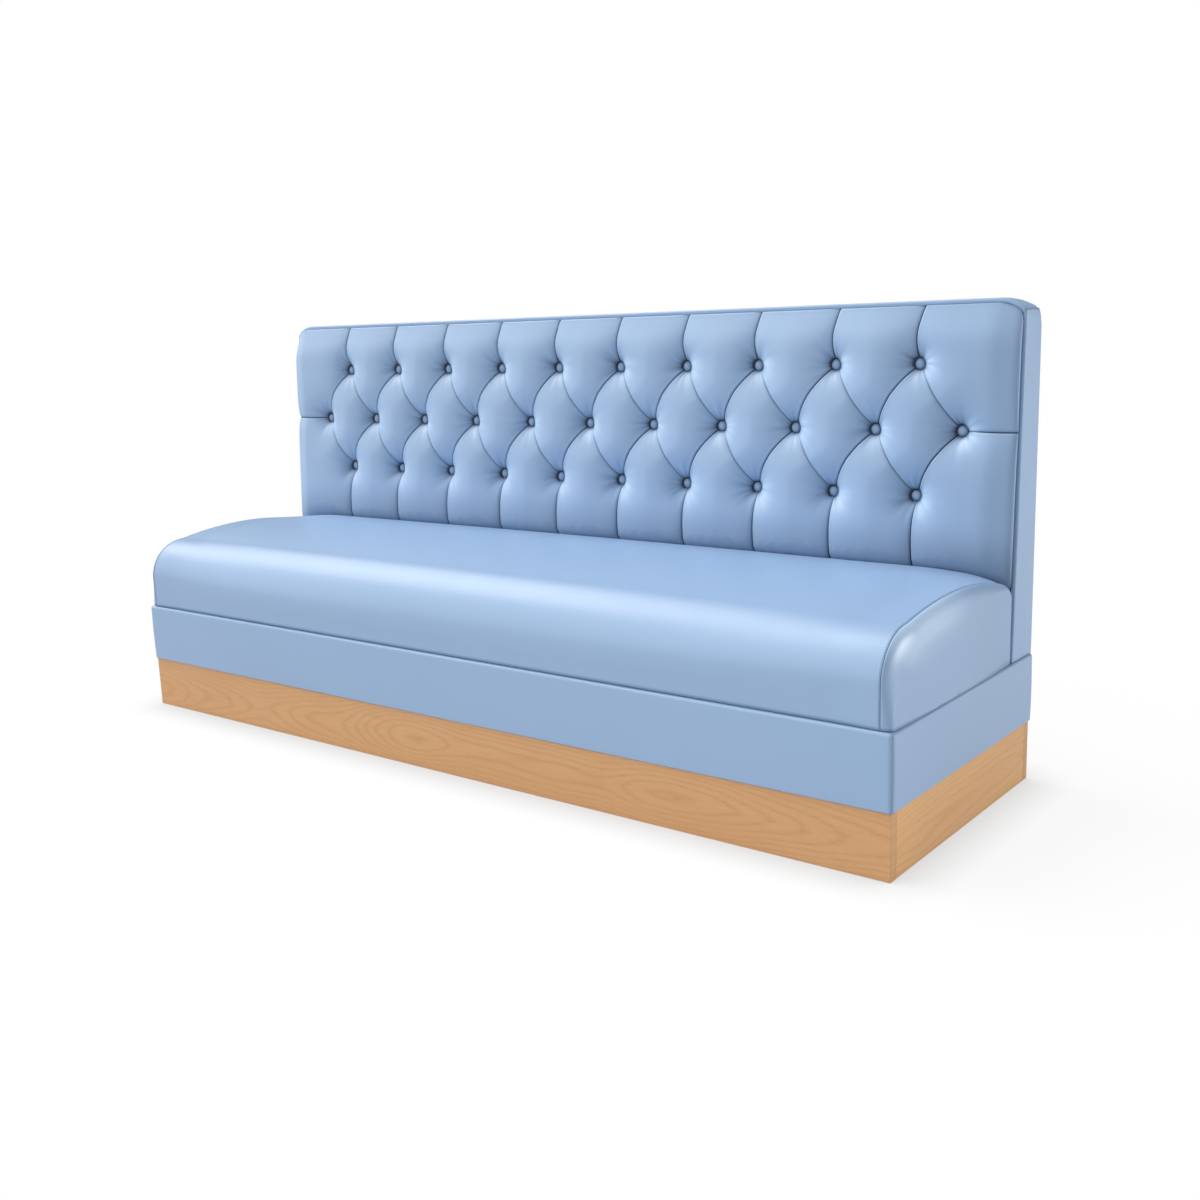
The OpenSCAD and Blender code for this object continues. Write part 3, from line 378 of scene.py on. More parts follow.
# %% Dress the frame's nodes
NODE_FINISH = [
    ("plinth_corner_blocks base_corner_blocks", softwood, "softwood"),
    ("plinth_cross_rails base_front_rail base_rear_rail base_left_rail base_right_rail "
     "base_cross_members base_deck seat_board_panel back_bottom_rail back_top_rail "
     "back_left_stile back_right_stile back_uprights back_button_board", plywood, "plywood"),
    ("back_left_border_board back_right_border_board back_top_border_board back_rear_board",
     hardboard, "hardboard"),
    ("back_twines", twine_cream, "twine"),
    ("plinth_block_screws base_block_screws base_deck_screws base_bolts base_nuts seat_bolts "
     "seat_washers seat_nuts back_bolts back_washers back_nuts back_tie_discs",
     steel.material, "steel"),
]
for names, material, slot in NODE_FINISH:
    for name in names.split():
        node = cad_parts[name]
        node.data.materials.clear()
        node.data.materials.append(material)
print(sum(len(names.split()) for names, _, _ in NODE_FINISH), "nodes dressed")

# %% [markdown]
# ## Making a piece
#
# Every soft piece is a mesh worked out from numbers: rings of points joined by four-sided faces.
# A few helpers do it for all of them. They join rows of points, close the two ends of a sweep,
# and turn points and faces into a smooth object with its finish, which stands for plain solids.


# %% Helpers for meshes
def joined(rows, columns, closed=True, start=0):
    """Faces between rows of points; closed joins each row's last point to its first."""
    faces = []
    for r in range(rows - 1):
        for c in range(columns if closed else columns - 1):
            d = (c + 1) % columns
            a, b = start + r * columns, start + (r + 1) * columns
            faces.append((a + c, a + d, b + d, b + c))
    return faces


def capped(rows, columns, start=0):
    """Faces of a sweep: round its side, and one over each end."""
    last = start + (rows - 1) * columns
    return joined(rows, columns, start=start) + [tuple(range(start, start + columns)),
                                                 tuple(range(last, last + columns))]


def store(mesh, name, values):
    """Keeps a number for every point of a mesh, for its material to read."""
    layer = mesh.attributes.new(name, "FLOAT", "POINT")
    layer.data.foreach_set("value", np.asarray(values, np.float32))


def make_piece(name, points, faces, material, nodes=(), painted_light_values=None):
    mesh = bpy.data.meshes.new(name)
    mesh.from_pydata([tuple(map(float, p)) for p in points], [], faces)
    mesh.materials.append(material)
    if painted_light_values is not None:
        # The stored number is painted light: above 0 painted shade, below 0 a painted highlight.
        store(mesh, "painted_light", painted_light_values)
    work = bmesh.new()
    work.from_mesh(mesh)
    bmesh.ops.recalc_face_normals(work, faces=work.faces)
    work.to_mesh(mesh)
    work.free()
    mesh.polygons.foreach_set("use_smooth", [True] * len(mesh.polygons))
    obj = bpy.data.objects.new(name, mesh)
    bpy.context.scene.collection.objects.link(obj)
    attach(obj, "root")
    if nodes:
        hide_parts(*nodes)
    return obj


print("mesh helpers ready")

# %% [markdown]
# ## The plinth's boards
#
# A veneered board is never quite sharp: its edges are eased with a pass of fine paper, and two
# boards that meet show a thin shadow line. Each board takes its size from the frame's node. A
# bevel in the mesh rounds its twelve edges, and cuts along it keep the faces short.

# %% Eased boards
EASED = 0.0009


def eased_board(name, node, material):
    low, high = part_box(node)
    size, middle = [high[k] - low[k] for k in range(3)], [(high[k] + low[k]) / 2 for k in range(3)]
    work = bmesh.new()
    bmesh.ops.create_cube(work, size=1.0)
    for vert in work.verts:
        vert.co = [middle[k] + vert.co[k] * size[k] for k in range(3)]
    long_way = 0 if size[0] > size[1] else 1
    long_edges = [e for e in work.edges
                  if abs(e.verts[0].co[long_way] - e.verts[1].co[long_way]) > size[long_way] / 2]
    bmesh.ops.subdivide_edges(work, edges=long_edges, cuts=12, use_grid_fill=True)
    sharp = [e for e in work.edges if e.calc_face_angle(0.0) > 0.5]
    bmesh.ops.bevel(work, geom=sharp, offset=EASED, segments=3, affect="EDGES", profile=0.5)
    points = [tuple(v.co) for v in work.verts]
    work.verts.index_update()
    faces = [tuple(v.index for v in f.verts) for f in work.faces]
    work.free()
    board = make_piece(name, points, faces, material, (node,))
    board.modifiers.new("flat", "WEIGHTED_NORMAL").keep_sharp = False


for side_name, material in (("front", veneer_long), ("rear", veneer_long),
                            ("left", veneer_short), ("right", veneer_short)):
    eased_board("plinth_" + side_name, "plinth_%s_board" % side_name, material)
print("four boards with eased edges")

# %% [markdown]
# ## Sizes of the frame
#
# The soft pieces fit round the frame's boards, so they share its sizes, in metres.

# %% Shared sizes
HALF_LENGTH, HALF_DEPTH = 1.05, 0.315
PLINTH_TOP, BASE_TOP, BACK_HEIGHT = 0.124, 0.265, 0.968
BACK_REAR, BACK_FOOT, LEAN = 0.3199, 0.1025, 0.035
BAND_SKIN, HEM = 0.0049, 0.0015


def front_y(z):
    """Y of the front edges of the back's borders at a height."""
    return BACK_REAR - BACK_FOOT + LEAN * (z - BASE_TOP)


def smooth(value):
    """Eases from 0 to 1 while value goes from 0 to 1."""
    value = np.clip(value, 0, 1)
    return value * value * (3 - 2 * value)


print("front of the back leans from y", round(front_y(BASE_TOP), 4), "to",
      round(front_y(BACK_HEIGHT), 4))

# %% [markdown]
# ## The band
#
# A strip of vinyl wraps the base box. It is folded under the rails and over the deck, with a thin
# foam behind it, and its four lengths meet in upright seams at the corners. Each length is one
# outline, drawn through the strip, swept from seam to seam round half of each corner. The last
# few millimetres dip into the seam.

# %% Band outline
BAND_CORNER, BAND_TOP_EDGE, BAND_FOOT_EDGE = 0.010, 0.006, 0.004
HEM_WIDTH, UNDER_FOLD, BAND_FULL = 0.05, 0.015, 0.0008


def arc(middle, radius, start, end, steps):
    """Points on a circle's arc, in degrees."""
    angles = np.radians(np.linspace(start, end, steps + 1))
    return np.column_stack([middle[0] + radius * np.cos(angles),
                            middle[1] + radius * np.sin(angles)])


face = np.linspace(PLINTH_TOP + BAND_FOOT_EDGE, BASE_TOP - BAND_TOP_EDGE, 15)[1:-1]
share = (face - face[0]) / (face[-1] - face[0])
outline = np.vstack([
    [[-UNDER_FOLD, PLINTH_TOP + 0.0002]],
    arc((-BAND_FOOT_EDGE, PLINTH_TOP + BAND_FOOT_EDGE), BAND_FOOT_EDGE, -88, 0, 6),
    np.column_stack([BAND_FULL * np.sin(np.pi * share), face]),
    arc((-BAND_TOP_EDGE, BASE_TOP - BAND_TOP_EDGE), BAND_TOP_EDGE, 0, 90, 9),
    [[-0.02, BASE_TOP - 0.0001], [-HEM_WIDTH, BASE_TOP - 0.0002], [-HEM_WIDTH, BASE_TOP - HEM],
     [-BAND_SKIN, BASE_TOP - HEM], [-BAND_SKIN, PLINTH_TOP + HEM],
     [-UNDER_FOLD, PLINTH_TOP + HEM]],
])
print("the band's outline has", len(outline), "points")

# %% Sweep the four lengths
SEAM_DIP, SEAM_REACH, RIPPLE = 0.0010, 5.0, 0.00015
BAND_SEAM_SHADE, BAND_FOOT_SHADE, BAND_FOOT_LINE = 0.7, 0.5, 0.003
CORNER_STEPS = np.radians([45, 46.5, 50, 56, 64, 74, 84])
rng = np.random.default_rng(11)


def band_length(name, half_run, out, turn, nodes):
    """One length of the band along X, then turned about the upright axis into its place."""
    inner = half_run - BAND_CORNER
    straight = np.linspace(-inner, inner, 60)
    wave = np.interp(straight, np.linspace(-inner, inner, 9), rng.normal(0, RIPPLE, 9))
    stations = [(-inner, -1, a, 0.0) for a in CORNER_STEPS]
    stations += [(x, 1, None, ripple) for x, ripple in zip(straight, wave)]
    stations += [(inner, 1, a, 0.0) for a in CORNER_STEPS[::-1]]
    points, painted_light_values = [], []
    for x, side, place, ripple in stations:
        dip = 0.0
        if place is not None:
            dip = SEAM_DIP * math.exp(-math.degrees(place - CORNER_STEPS[0]) / SEAM_REACH)
        for o, z in outline:
            shift = o - dip * (o > -BAND_SKIN + 1e-6) + ripple * (o > -0.001)
            if place is None:
                points.append((x, out + shift, z))
            else:
                radius, beyond = max(BAND_CORNER + shift, 0.0003), min(BAND_CORNER + shift, 0.0)
                points.append((x + side * (radius * math.cos(place) + beyond),
                               out - BAND_CORNER + radius * math.sin(place) + beyond, z))
            shown = z < BASE_TOP - HEM / 2 and o > -UNDER_FOLD
            # Painted shade: darker in the dip of each corner seam and along the foot against the
            # plinth.
            painted_light_values.append(BAND_SEAM_SHADE * (dip / SEAM_DIP) ** 2 * shown
                           + BAND_FOOT_SHADE * max(0.0, 1 - (z - PLINTH_TOP) / BAND_FOOT_LINE))
    spin, (x, y, z) = np.radians(turn), np.array(points).T
    points = np.column_stack([x * np.cos(spin) - y * np.sin(spin),
                              x * np.sin(spin) + y * np.cos(spin), z])
    piece = make_piece(name, points, capped(len(stations), len(outline)), vinyl.material,
                       nodes, painted_light_values)


BAND_LONG, BAND_SHORT = HALF_LENGTH + BAND_SKIN, HALF_DEPTH + BAND_SKIN
for side_name, half_run, out, turn in (("rear", BAND_LONG, BAND_SHORT, 0),
                                       ("left", BAND_SHORT, BAND_LONG, 90),
                                       ("front", BAND_LONG, BAND_SHORT, 180),
                                       ("right", BAND_SHORT, BAND_LONG, 270)):
    band_length("band_" + side_name, half_run, out, turn,
                ("band_%s_cover" % side_name, "band_%s_foam" % side_name))
print("four lengths of band")

# %% [markdown]
# ## The seat's shape
#
# The seat is a block of foam in a vinyl sleeve: a wall drawn in at its foot, a fat rounded front
# that people's knees bend over, a shallow crown and a small rear roll. A profile in Y and Z is
# worked out for any place along the bench, because the rear corners fall away at the ends.

# %% Seat profile
SEAT_HEIGHT, LONG_CROWN, CROWN, CROWN_MIDDLE = 0.456, 0.005, 0.020, -0.010
REAR_SAG, REAR_ROLL, CORNER_FALL, FALL_START = 0.003, 0.030, 0.038, 0.81
SEAT_FRONT, SEAT_REAR, ROLL_DEPTH, ROLL_HEIGHT = 0.316, 0.217, 0.100, 0.090
DRAW_IN, DRAW_HEIGHT, SEAT_EDGE = 0.0015, 0.012, 0.002
SEAT_FLOOR = BASE_TOP + 0.0003
SHOWN_POINTS = 84


def crown_z(x, y):
    """Height of the seat over its crown, before front and rear are rounded."""
    x, y = np.asarray(x, float), np.asarray(y, float)
    share = x / HALF_LENGTH
    ahead = (CROWN_MIDDLE - y) / (SEAT_FRONT - ROLL_DEPTH + CROWN_MIDDLE)
    behind = (y - CROWN_MIDDLE) / (SEAT_REAR - CROWN_MIDDLE)
    fall = np.maximum(0, (np.abs(share) - FALL_START) / (1 - FALL_START))
    return SEAT_HEIGHT - LONG_CROWN * share ** 2 - np.where(
        y < CROWN_MIDDLE, CROWN * ahead ** 2,
        REAR_SAG * behind ** 2 + CORNER_FALL * fall ** 3 * behind ** 2)


def foot_draw(z):
    """How far the wall is drawn in at a height."""
    return DRAW_IN * np.maximum(0, 1 - (z - BASE_TOP) / DRAW_HEIGHT) ** 2


def seat_ring(x, inset):
    """The seat's outline at one place along the bench, round and back to its start."""
    roll_y, roll_z = -SEAT_FRONT + ROLL_DEPTH, SEAT_HEIGHT - LONG_CROWN - CROWN - ROLL_HEIGHT
    rear_y = SEAT_REAR - REAR_ROLL
    rear_z = float(crown_z(x, rear_y)) - REAR_ROLL
    wall = np.linspace(SEAT_FLOOR + SEAT_EDGE, roll_z, 12)[:-1]
    angles, rear_angles = np.radians(np.linspace(0, 90, 26)), np.radians(np.linspace(0, 90, 10))
    roll = roll_y - (ROLL_DEPTH - inset) * np.cos(angles)
    top = np.linspace(roll_y, rear_y, 30)[1:-1]
    rear = rear_y + (REAR_ROLL - inset) * np.sin(rear_angles)
    back = np.linspace(rear_z, SEAT_FLOOR + SEAT_EDGE, 10)[1:]
    foot_in = inset + float(foot_draw(SEAT_FLOOR)) + 0.0005
    front_foot, rear_foot = -SEAT_FRONT + foot_in, SEAT_REAR - foot_in
    under = np.linspace(rear_foot - SEAT_EDGE, front_foot + SEAT_EDGE, 14)
    return np.vstack([
        np.column_stack([-SEAT_FRONT + inset + foot_draw(wall), wall]),
        np.column_stack([roll, roll_z + (crown_z(x, np.maximum(roll, roll_y)) - inset - roll_z)
                         * np.sin(angles)]),
        np.column_stack([top, crown_z(x, top) - inset]),
        np.column_stack([rear, rear_z + (crown_z(x, rear) - inset - rear_z)
                         * np.cos(rear_angles)]),
        np.column_stack([SEAT_REAR - inset - foot_draw(back), back]),
        [[rear_foot - SEAT_EDGE * 0.3, SEAT_FLOOR + SEAT_EDGE * 0.3]],
        np.column_stack([under, np.full(len(under), SEAT_FLOOR)]),
        [[front_foot + SEAT_EDGE * 0.3, SEAT_FLOOR + SEAT_EDGE * 0.3]],
    ])


print("a seat ring has", len(seat_ring(0.0, 0.0)), "points,", SHOWN_POINTS, "above its floor")

# %% [markdown]
# ## Swelling a cushion
#
# Foam pushes a cover out between its seams. Cloth simulation gives that shape for free: the mesh
# starts a little small, air pressure blows it up with gravity off, and the seams are pinned.
# How far a point may move is capped, so the cushion keeps the size that its frame gives it.


# %% Cloth helper
def eased(obj, moved, pinned, passes):
    """Evens a movement out over neighbouring points, so that only its broad form is left."""
    ends = np.array([e.vertices[:] for e in obj.data.edges])
    one, two = np.concatenate([ends[:, 0], ends[:, 1]]), np.concatenate([ends[:, 1], ends[:, 0]])
    degree = np.bincount(one, minlength=len(moved))
    for _ in range(passes):
        mean = np.column_stack([np.bincount(one, moved[two, k], len(moved)) for k in range(3)])
        moved = (0.4 * moved + 0.6 * mean / degree[:, None]) * (1 - pinned)[:, None]
    return moved


def swelled(obj, pinned, pressure, frames, cap, passes):
    """Blows a closed piece up between its pinned points, and keeps the broad result."""
    scene = bpy.context.scene
    start = np.array([v.co for v in obj.data.vertices])
    group = obj.vertex_groups.new(name="sewn")
    for weight in sorted(set(np.round(pinned, 2))):
        if weight > 0:
            members = [int(i) for i in np.flatnonzero(np.abs(pinned - weight) < 0.006)]
            group.add(members, float(weight), "REPLACE")
    cloth = obj.modifiers.new("air", "CLOTH")
    for key, value in {"quality": 4, "mass": 0.4, "tension_stiffness": 25,
                       "compression_stiffness": 25, "shear_stiffness": 12,
                       "bending_stiffness": 4, "use_pressure": True,
                       "uniform_pressure_force": pressure, "vertex_group_mass": "sewn"}.items():
        setattr(cloth.settings, key, value)
    cloth.settings.effector_weights.gravity = 0
    cloth.collision_settings.use_collision = False
    cloth.point_cache.frame_start, cloth.point_cache.frame_end = 1, frames
    for number in range(1, frames + 1):
        scene.frame_set(number)
    shown = obj.evaluated_get(bpy.context.evaluated_depsgraph_get())
    moved = np.array([v.co for v in shown.data.vertices]) - start
    scene.frame_set(1)
    obj.modifiers.remove(cloth)
    obj.vertex_groups.remove(group)
    length = np.linalg.norm(moved, axis=1)
    moved *= (np.minimum(length, cap) / np.maximum(length, 1e-9))[:, None]
    moved = eased(obj, moved, np.clip(pinned, 0, 1), passes)
    obj.data.vertices.foreach_set("co", (start + moved).astype(np.float32).ravel())
    obj.data.update()
    print(obj.name, "swelled by up to", round(float(length.max()) * 1000, 2), "mm, kept",
          round(float(np.linalg.norm(moved, axis=1).max()) * 1000, 2))


# %% [markdown]
# ## The seat cover and its end panels
#
# The sleeve and each end panel meet in a sewn seam that runs up the front, over the crest and
# down the rear. Rings are set close together beside the seam and dip into it, and painted shade
# in the dip draws the thin dark line. Outside the seam the panel turns over a shoulder, wide at
# the crest and tight at the foot and the rear, and its face bulges a little. A highlight is
# painted on the upper front of the shoulder, and painted shade darkens the panel towards the
# rear. The rings shrink towards a point on the foot, so its edge stays level.

# %% Seat sleeve
SEAT_SEAM, SEAM_DEPTH, SEAM_WIDTH, SEAM_SHADE = 1.0285, 0.0009, 0.0009, 1.1
SWELL_ROOM, SWELL_REACH, FOOT_SHADE = 0.0025, 0.10, 0.6
near_seam = np.array([0.0, 0.0007, 0.0018, 0.0035, 0.006, 0.010, 0.017, 0.028])
between = np.linspace(-SEAT_SEAM + 0.04, SEAT_SEAM - 0.04, 148)
groove = SEAM_DEPTH * np.exp(-near_seam / SEAM_WIDTH)
along = np.concatenate([-SEAT_SEAM + near_seam, between, (SEAT_SEAM - near_seam)[::-1]])
dips = np.concatenate([groove, np.zeros(len(between)), groove[::-1]])
rings = [seat_ring(x, dip + SWELL_ROOM * smooth((SEAT_SEAM - abs(x)) / SWELL_REACH))
         for x, dip in zip(along, dips)]
ring_size = len(rings[0])
points = np.vstack([np.column_stack([np.full(ring_size, x), ring])
                    for x, ring in zip(along, rings)])


def foot_shaded(points, painted_light_values):
    """Adds a painted dark line of shade where the seat meets the base."""
    return np.where(points[:, 2] < BASE_TOP + 0.003, FOOT_SHADE, painted_light_values)


seat = make_piece("seat_cushion", points, capped(len(along), ring_size), vinyl.material,
                  ("seat_cover", "seat_foam"),
                  # Painted shade in the seam's dip.
                  foot_shaded(points, np.repeat(dips / SEAM_DEPTH, ring_size) * SEAM_SHADE))
held = np.clip((BASE_TOP + 0.030 - points[:, 2]) / 0.02, 0, 1)
held = np.maximum(held, np.clip(1 - (SEAT_SEAM - np.abs(points[:, 0])) / SWELL_REACH, 0, 1) ** 2)
swelled(seat, held, 0.7, 14, 0.005, 30)
print("seat sleeve:", len(points), "points")

# %% End panels
SHOULDER, END_BULGE, BROAD_SHARE, TIGHT_SHARE = 0.020, 0.004, 0.22, 0.035
BROAD_RISE, BROAD_RUN, PAINTED_REAR_SHADE, SHADE_FROM, SHADE_RUN = 0.11, 0.14, 0.15, -0.10, 0.30
# A painted highlight on the shoulder's upper front, and painted shade towards the rear.
PAINTED_SHOULDER_LIGHT, SHOULDER_LIGHT_FROM, SHOULDER_LIGHT_RISE, SHOULDER_LIGHT_BACK, SHOULDER_LIGHT_RUN = {-1: 0.4, 1: 0.8}, 0.372, 0.055, -0.15, 0.22
TURNS = np.radians([0, 3, 7, 12, 20, 30, 42, 54, 66, 78, 90])
SEAT_FOOT = np.array([(SEAT_REAR - SEAT_FRONT) / 2, SEAT_FLOOR])


def end_rows():
    """Reach, share of the turn, share of the face, seam's dip and painted highlight of each ring.
    """
    rows = [(SEAT_SEAM + 0.0001 + SHOULDER * math.sin(a), 1 - math.cos(a), 0.0,
             SEAM_DEPTH * math.exp(-SHOULDER * a / SEAM_WIDTH),
             (1 - math.exp(-SHOULDER * a / 0.0015)) * (1 - 0.6 * a / math.pi)) for a in TURNS]
    return rows + [(SEAT_SEAM + SHOULDER + END_BULGE * s * (2 - s), 1.0, s, 0.0,
                    0.70 * math.exp(-s / 0.10)) for s in np.linspace(0.0, 1.0, 22)[1:-1] ** 1.1]


def seat_end(name, side, node):
    points, painted_light_values = [], []
    for x, turn_share, face_share, dip, shoulder_light in end_rows():
        ring = seat_ring(SEAT_SEAM, dip)
        y, z = ring.T
        broad = smooth((z - SEAT_FLOOR) / BROAD_RISE) * smooth((SEAT_REAR - y) / BROAD_RUN)
        soft = TIGHT_SHARE + (BROAD_SHARE - TIGHT_SHARE) * broad
        share = soft * turn_share + (1 - soft) * face_share
        crest = smooth((z - SHOULDER_LIGHT_FROM) / SHOULDER_LIGHT_RISE) * (1 - smooth((y - SHOULDER_LIGHT_BACK) / SHOULDER_LIGHT_RUN))
        ring = ring + (SEAT_FOOT - ring) * share[:, None]
        points.append(np.column_stack([np.full(len(ring), side * x), ring]))
        # Painted shade in the seam's dip, and a painted highlight on the shoulder.
        painted_light_values.append(dip / SEAM_DEPTH * SEAM_SHADE - PAINTED_SHOULDER_LIGHT[side] * shoulder_light * crest)
    rows, count = len(points), len(points[0])
    points = np.vstack(points + [[[side * (SEAT_SEAM + SHOULDER + END_BULGE), *SEAT_FOOT]]])
    last = len(points) - 1
    faces = joined(rows, count) + [tuple(range(count))]
    faces += [(last - count + k, last - count + (k + 1) % count, last) for k in range(count)]
    painted_light_values = np.append(np.concatenate(painted_light_values), 0.0)
    painted_light_values += PAINTED_REAR_SHADE * smooth((points[:, 1] - SHADE_FROM) / SHADE_RUN)
    piece = make_piece(name, points, faces, vinyl.material, (node,),
                       foot_shaded(points, painted_light_values))
    pinned = np.clip((BASE_TOP + 0.022 - points[:, 2]) / 0.015, 0, 1)
    pinned = np.maximum(pinned, np.clip(1 - (np.abs(points[:, 0]) - SEAT_SEAM) / 0.006, 0, 1))
    swelled(piece, pinned, 3.0, 12, 0.003, 25)


seat_end("seat_end_left", -1, "seat_left_end")
seat_end("seat_end_right", 1, "seat_right_end")
print("two end panels of", len(end_rows()), "rings")

# %% [markdown]
# ## Stitches
#
# A top stitch runs along each seam, on the sleeve's side of it. The thread shows as short
# dashes that sink into the vinyl at both ends. One small spindle is laid along the seam's
# profile again and again, at an even stitch length.

# %% Thread finish
thread = Finish("thread", specular_ior_level=0.3)
spot, _ = thread.place()
twist = thread.noise(thread.stretched(spot, (900, 2600, 2600)), 1.0, 2.0)
thread.feed(base_color=thread.blend(twist, linear((120, 148, 184)), linear((92, 118, 152))),
            roughness=0.55 + twist * 0.2)
thread.bumped(twist, 0.0001, 0.5)
print("thread has", len(thread.tree.nodes), "nodes")

# %% Stitches
STITCH, DASH, THREAD, FROM_SEAM, SIDES = 0.0055, 0.0036, 0.00042, 0.0032, 6
SPINDLE = [(-0.5, 0.25), (-0.3, 0.85), (0.0, 1.0), (0.3, 0.85), (0.5, 0.25)]


def stitched(side):
    """Points and faces of the stitches beside one seam."""
    x = side * (SEAT_SEAM - FROM_SEAM)
    ring = seat_ring(SEAT_SEAM, SWELL_ROOM * float(smooth(FROM_SEAM / SWELL_REACH)))
    path = ring[(ring[:, 1] > BASE_TOP + 0.006) & (np.arange(len(ring)) < SHOWN_POINTS)]
    reached = np.concatenate([[0], np.cumsum(np.hypot(*np.diff(path, axis=0).T))])
    made, faces = [], []
    for at in np.arange(STITCH, reached[-1] - STITCH, STITCH):
        here, ahead = (np.array([np.interp(place, reached, path[:, k]) for k in range(2)])
                       for place in (at, at + 0.001))
        way = (ahead - here) / np.linalg.norm(ahead - here)
        out_way = np.array([-way[1], way[0]])
        faces += capped(len(SPINDLE), SIDES, start=len(made))
        for run, girth in SPINDLE:
            for turn in 2 * math.pi * np.arange(SIDES) / SIDES:
                y, z = here + way * run * DASH + out_way * THREAD * girth * math.sin(turn)
                made.append((x + THREAD * girth * math.cos(turn), y, z))
    return made, faces


for side, side_name in ((-1, "left"), (1, "right")):
    made, faces = stitched(side)
    make_piece("stitches_" + side_name, made, faces, thread.material)
print("stitches:", len(made) // (SIDES * len(SPINDLE)), "along each seam")

# %% [markdown]
# ## The cloth under the seat
#
# A thin black cloth closes the underside of the seat. It is stapled flat to the board, so it is
# a nearly flat sheet with a slight sag between its edges.

# %% Under cloth
CLOTH_SAG, CLOTH_THICK = 0.0003, 0.0005
low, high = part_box("seat_bottom_cloth")
wide, deep = high.x - low.x, high.y - low.y
gx, gy = np.meshgrid(np.linspace(low.x, high.x, 80), np.linspace(low.y, high.y, 18))
sag = CLOTH_SAG * np.sin(np.pi * (gx - low.x) / wide) * np.sin(np.pi * (gy - low.y) / deep)
upper = np.column_stack([gx.ravel(), gy.ravel(), (high.z - sag).ravel()])
lower = upper - (0, 0, CLOTH_THICK)
rows, columns = gx.shape
index = np.arange(rows * columns).reshape(rows, columns)
edge = [int(i) for i in np.concatenate([index[0, :-1], index[:-1, -1], index[-1, :0:-1],
                                        index[:0:-1, 0]])]
faces = joined(rows, columns, False) + joined(rows, columns, False, start=len(upper))
faces += [(a, b, b + len(upper), a + len(upper)) for a, b in zip(edge, edge[1:] + edge[:1])]
under = make_piece("under_cloth", np.vstack([upper, lower]), faces, cloth_black,
                   ("seat_bottom_cloth",))
print("under cloth", round(wide, 3), "by", round(deep, 3))

# %% [markdown]
# ## The buttoned cover
#
# Buttons pull a cover into its stuffing in a diamond pattern, and the spare vinyl between them is
# laid in folds, all with their mouths facing down. Cloth simulation could look for them, but it
# takes minutes and leaves open where a fold ends up. A flat grid would cross the folds at odd
# angles and turn them into steps. So the cover is built patch by patch, with the folds as the
# patches' own edges: four-sided patches between the rows, and five-sided ones at the rim, each
# cut into four-sided fields round its middle.

# %% Buttons
SIDE_PITCHES, STEPS = 5, 18
BORDER_SKIN, BORDER_BOARD, PAD_GAP = 0.005, 0.004, 0.004
PAD_INSET = BORDER_SKIN + BORDER_BOARD + PAD_GAP
PAD_HALF, PAD_TOP = (size - BORDER_SKIN - BORDER_BOARD - PAD_GAP
                     for size in (HALF_LENGTH, BACK_HEIGHT))
PAD_BOTTOM = BASE_TOP + HEM
TOP_CORNER, TOP_DROP = 0.0785, 0.023
CORNER_TURN = math.acos(1 - TOP_DROP / TOP_CORNER)
CORNER_X = HALF_LENGTH - TOP_CORNER * math.sin(CORNER_TURN)
CORNER_Z = BACK_HEIGHT - TOP_CORNER
TOP_ROW, LOW_ROW = MIDDLE_ROW + ROW_STEP, MIDDLE_ROW - ROW_STEP
outer_places = [(i + 0.5) * PITCH for i in range(-SIDE_PITCHES, SIDE_PITCHES)]
buttons = np.array([(i * PITCH, MIDDLE_ROW) for i in range(-SIDE_PITCHES, SIDE_PITCHES + 1)]
                   + [(x, z) for z in (TOP_ROW, LOW_ROW) for x in outer_places])


def top_at(x):
    """Height of the pad's curved top edge at a place along the bench."""
    reach = np.maximum(0, np.abs(x) - CORNER_X)
    return CORNER_Z + np.sqrt((TOP_CORNER - PAD_INSET) ** 2 - reach ** 2)


print(len(buttons), "buttons")

# %% Folds
HOOK, FOOT_SHIFT, LOW_BOW, HIGH_BOW = 0.016, 0.026, 0.002, 0.004
BULGE = {"left": (-0.0085, 0.0055), "right": (-0.0025, -0.0015), "up": (0.0, 0.0),
         "level": (0.0, 0.0), "rim": (0.0, 0.0)}
KINDS = ["left", "right", "up", "level"]
NEAR = 1e-6


def graded(count):
    """Shares from 0 to 1 that stand closer together near both ends."""
    t = np.linspace(0, 1, count + 1)
    return t - 0.82 * np.sin(2 * np.pi * t) / (2 * np.pi)


def rim_end(x, row):
    """Where the upright fold of an outer button meets the rim."""
    return (x + HOOK, PAD_TOP) if row == TOP_ROW else (x + FOOT_SHIFT, PAD_BOTTOM)


def ordered(a, b):
    """Two ends of a line, the upper or else the left one first."""
    return (b, a) if (a[1], -a[0]) < (b[1], -b[0]) else (a, b)


def fold_kind(a, b):
    """Which way the line between two points falls: a is the upper or the left one."""
    on_rim = max(abs(a[0]), abs(b[0])) > PAD_HALF - NEAR and abs(a[0] - b[0]) < NEAR
    if on_rim or (abs(a[1] - b[1]) < 0.04 and abs(a[1] - MIDDLE_ROW) > NEAR):
        return "rim"
    if abs(a[1] - b[1]) < NEAR:
        return "level"
    if max(a[1], b[1]) > PAD_TOP - NEAR or min(a[1], b[1]) < PAD_BOTTOM + NEAR:
        return "up"
    return "left" if b[0] < a[0] else "right"


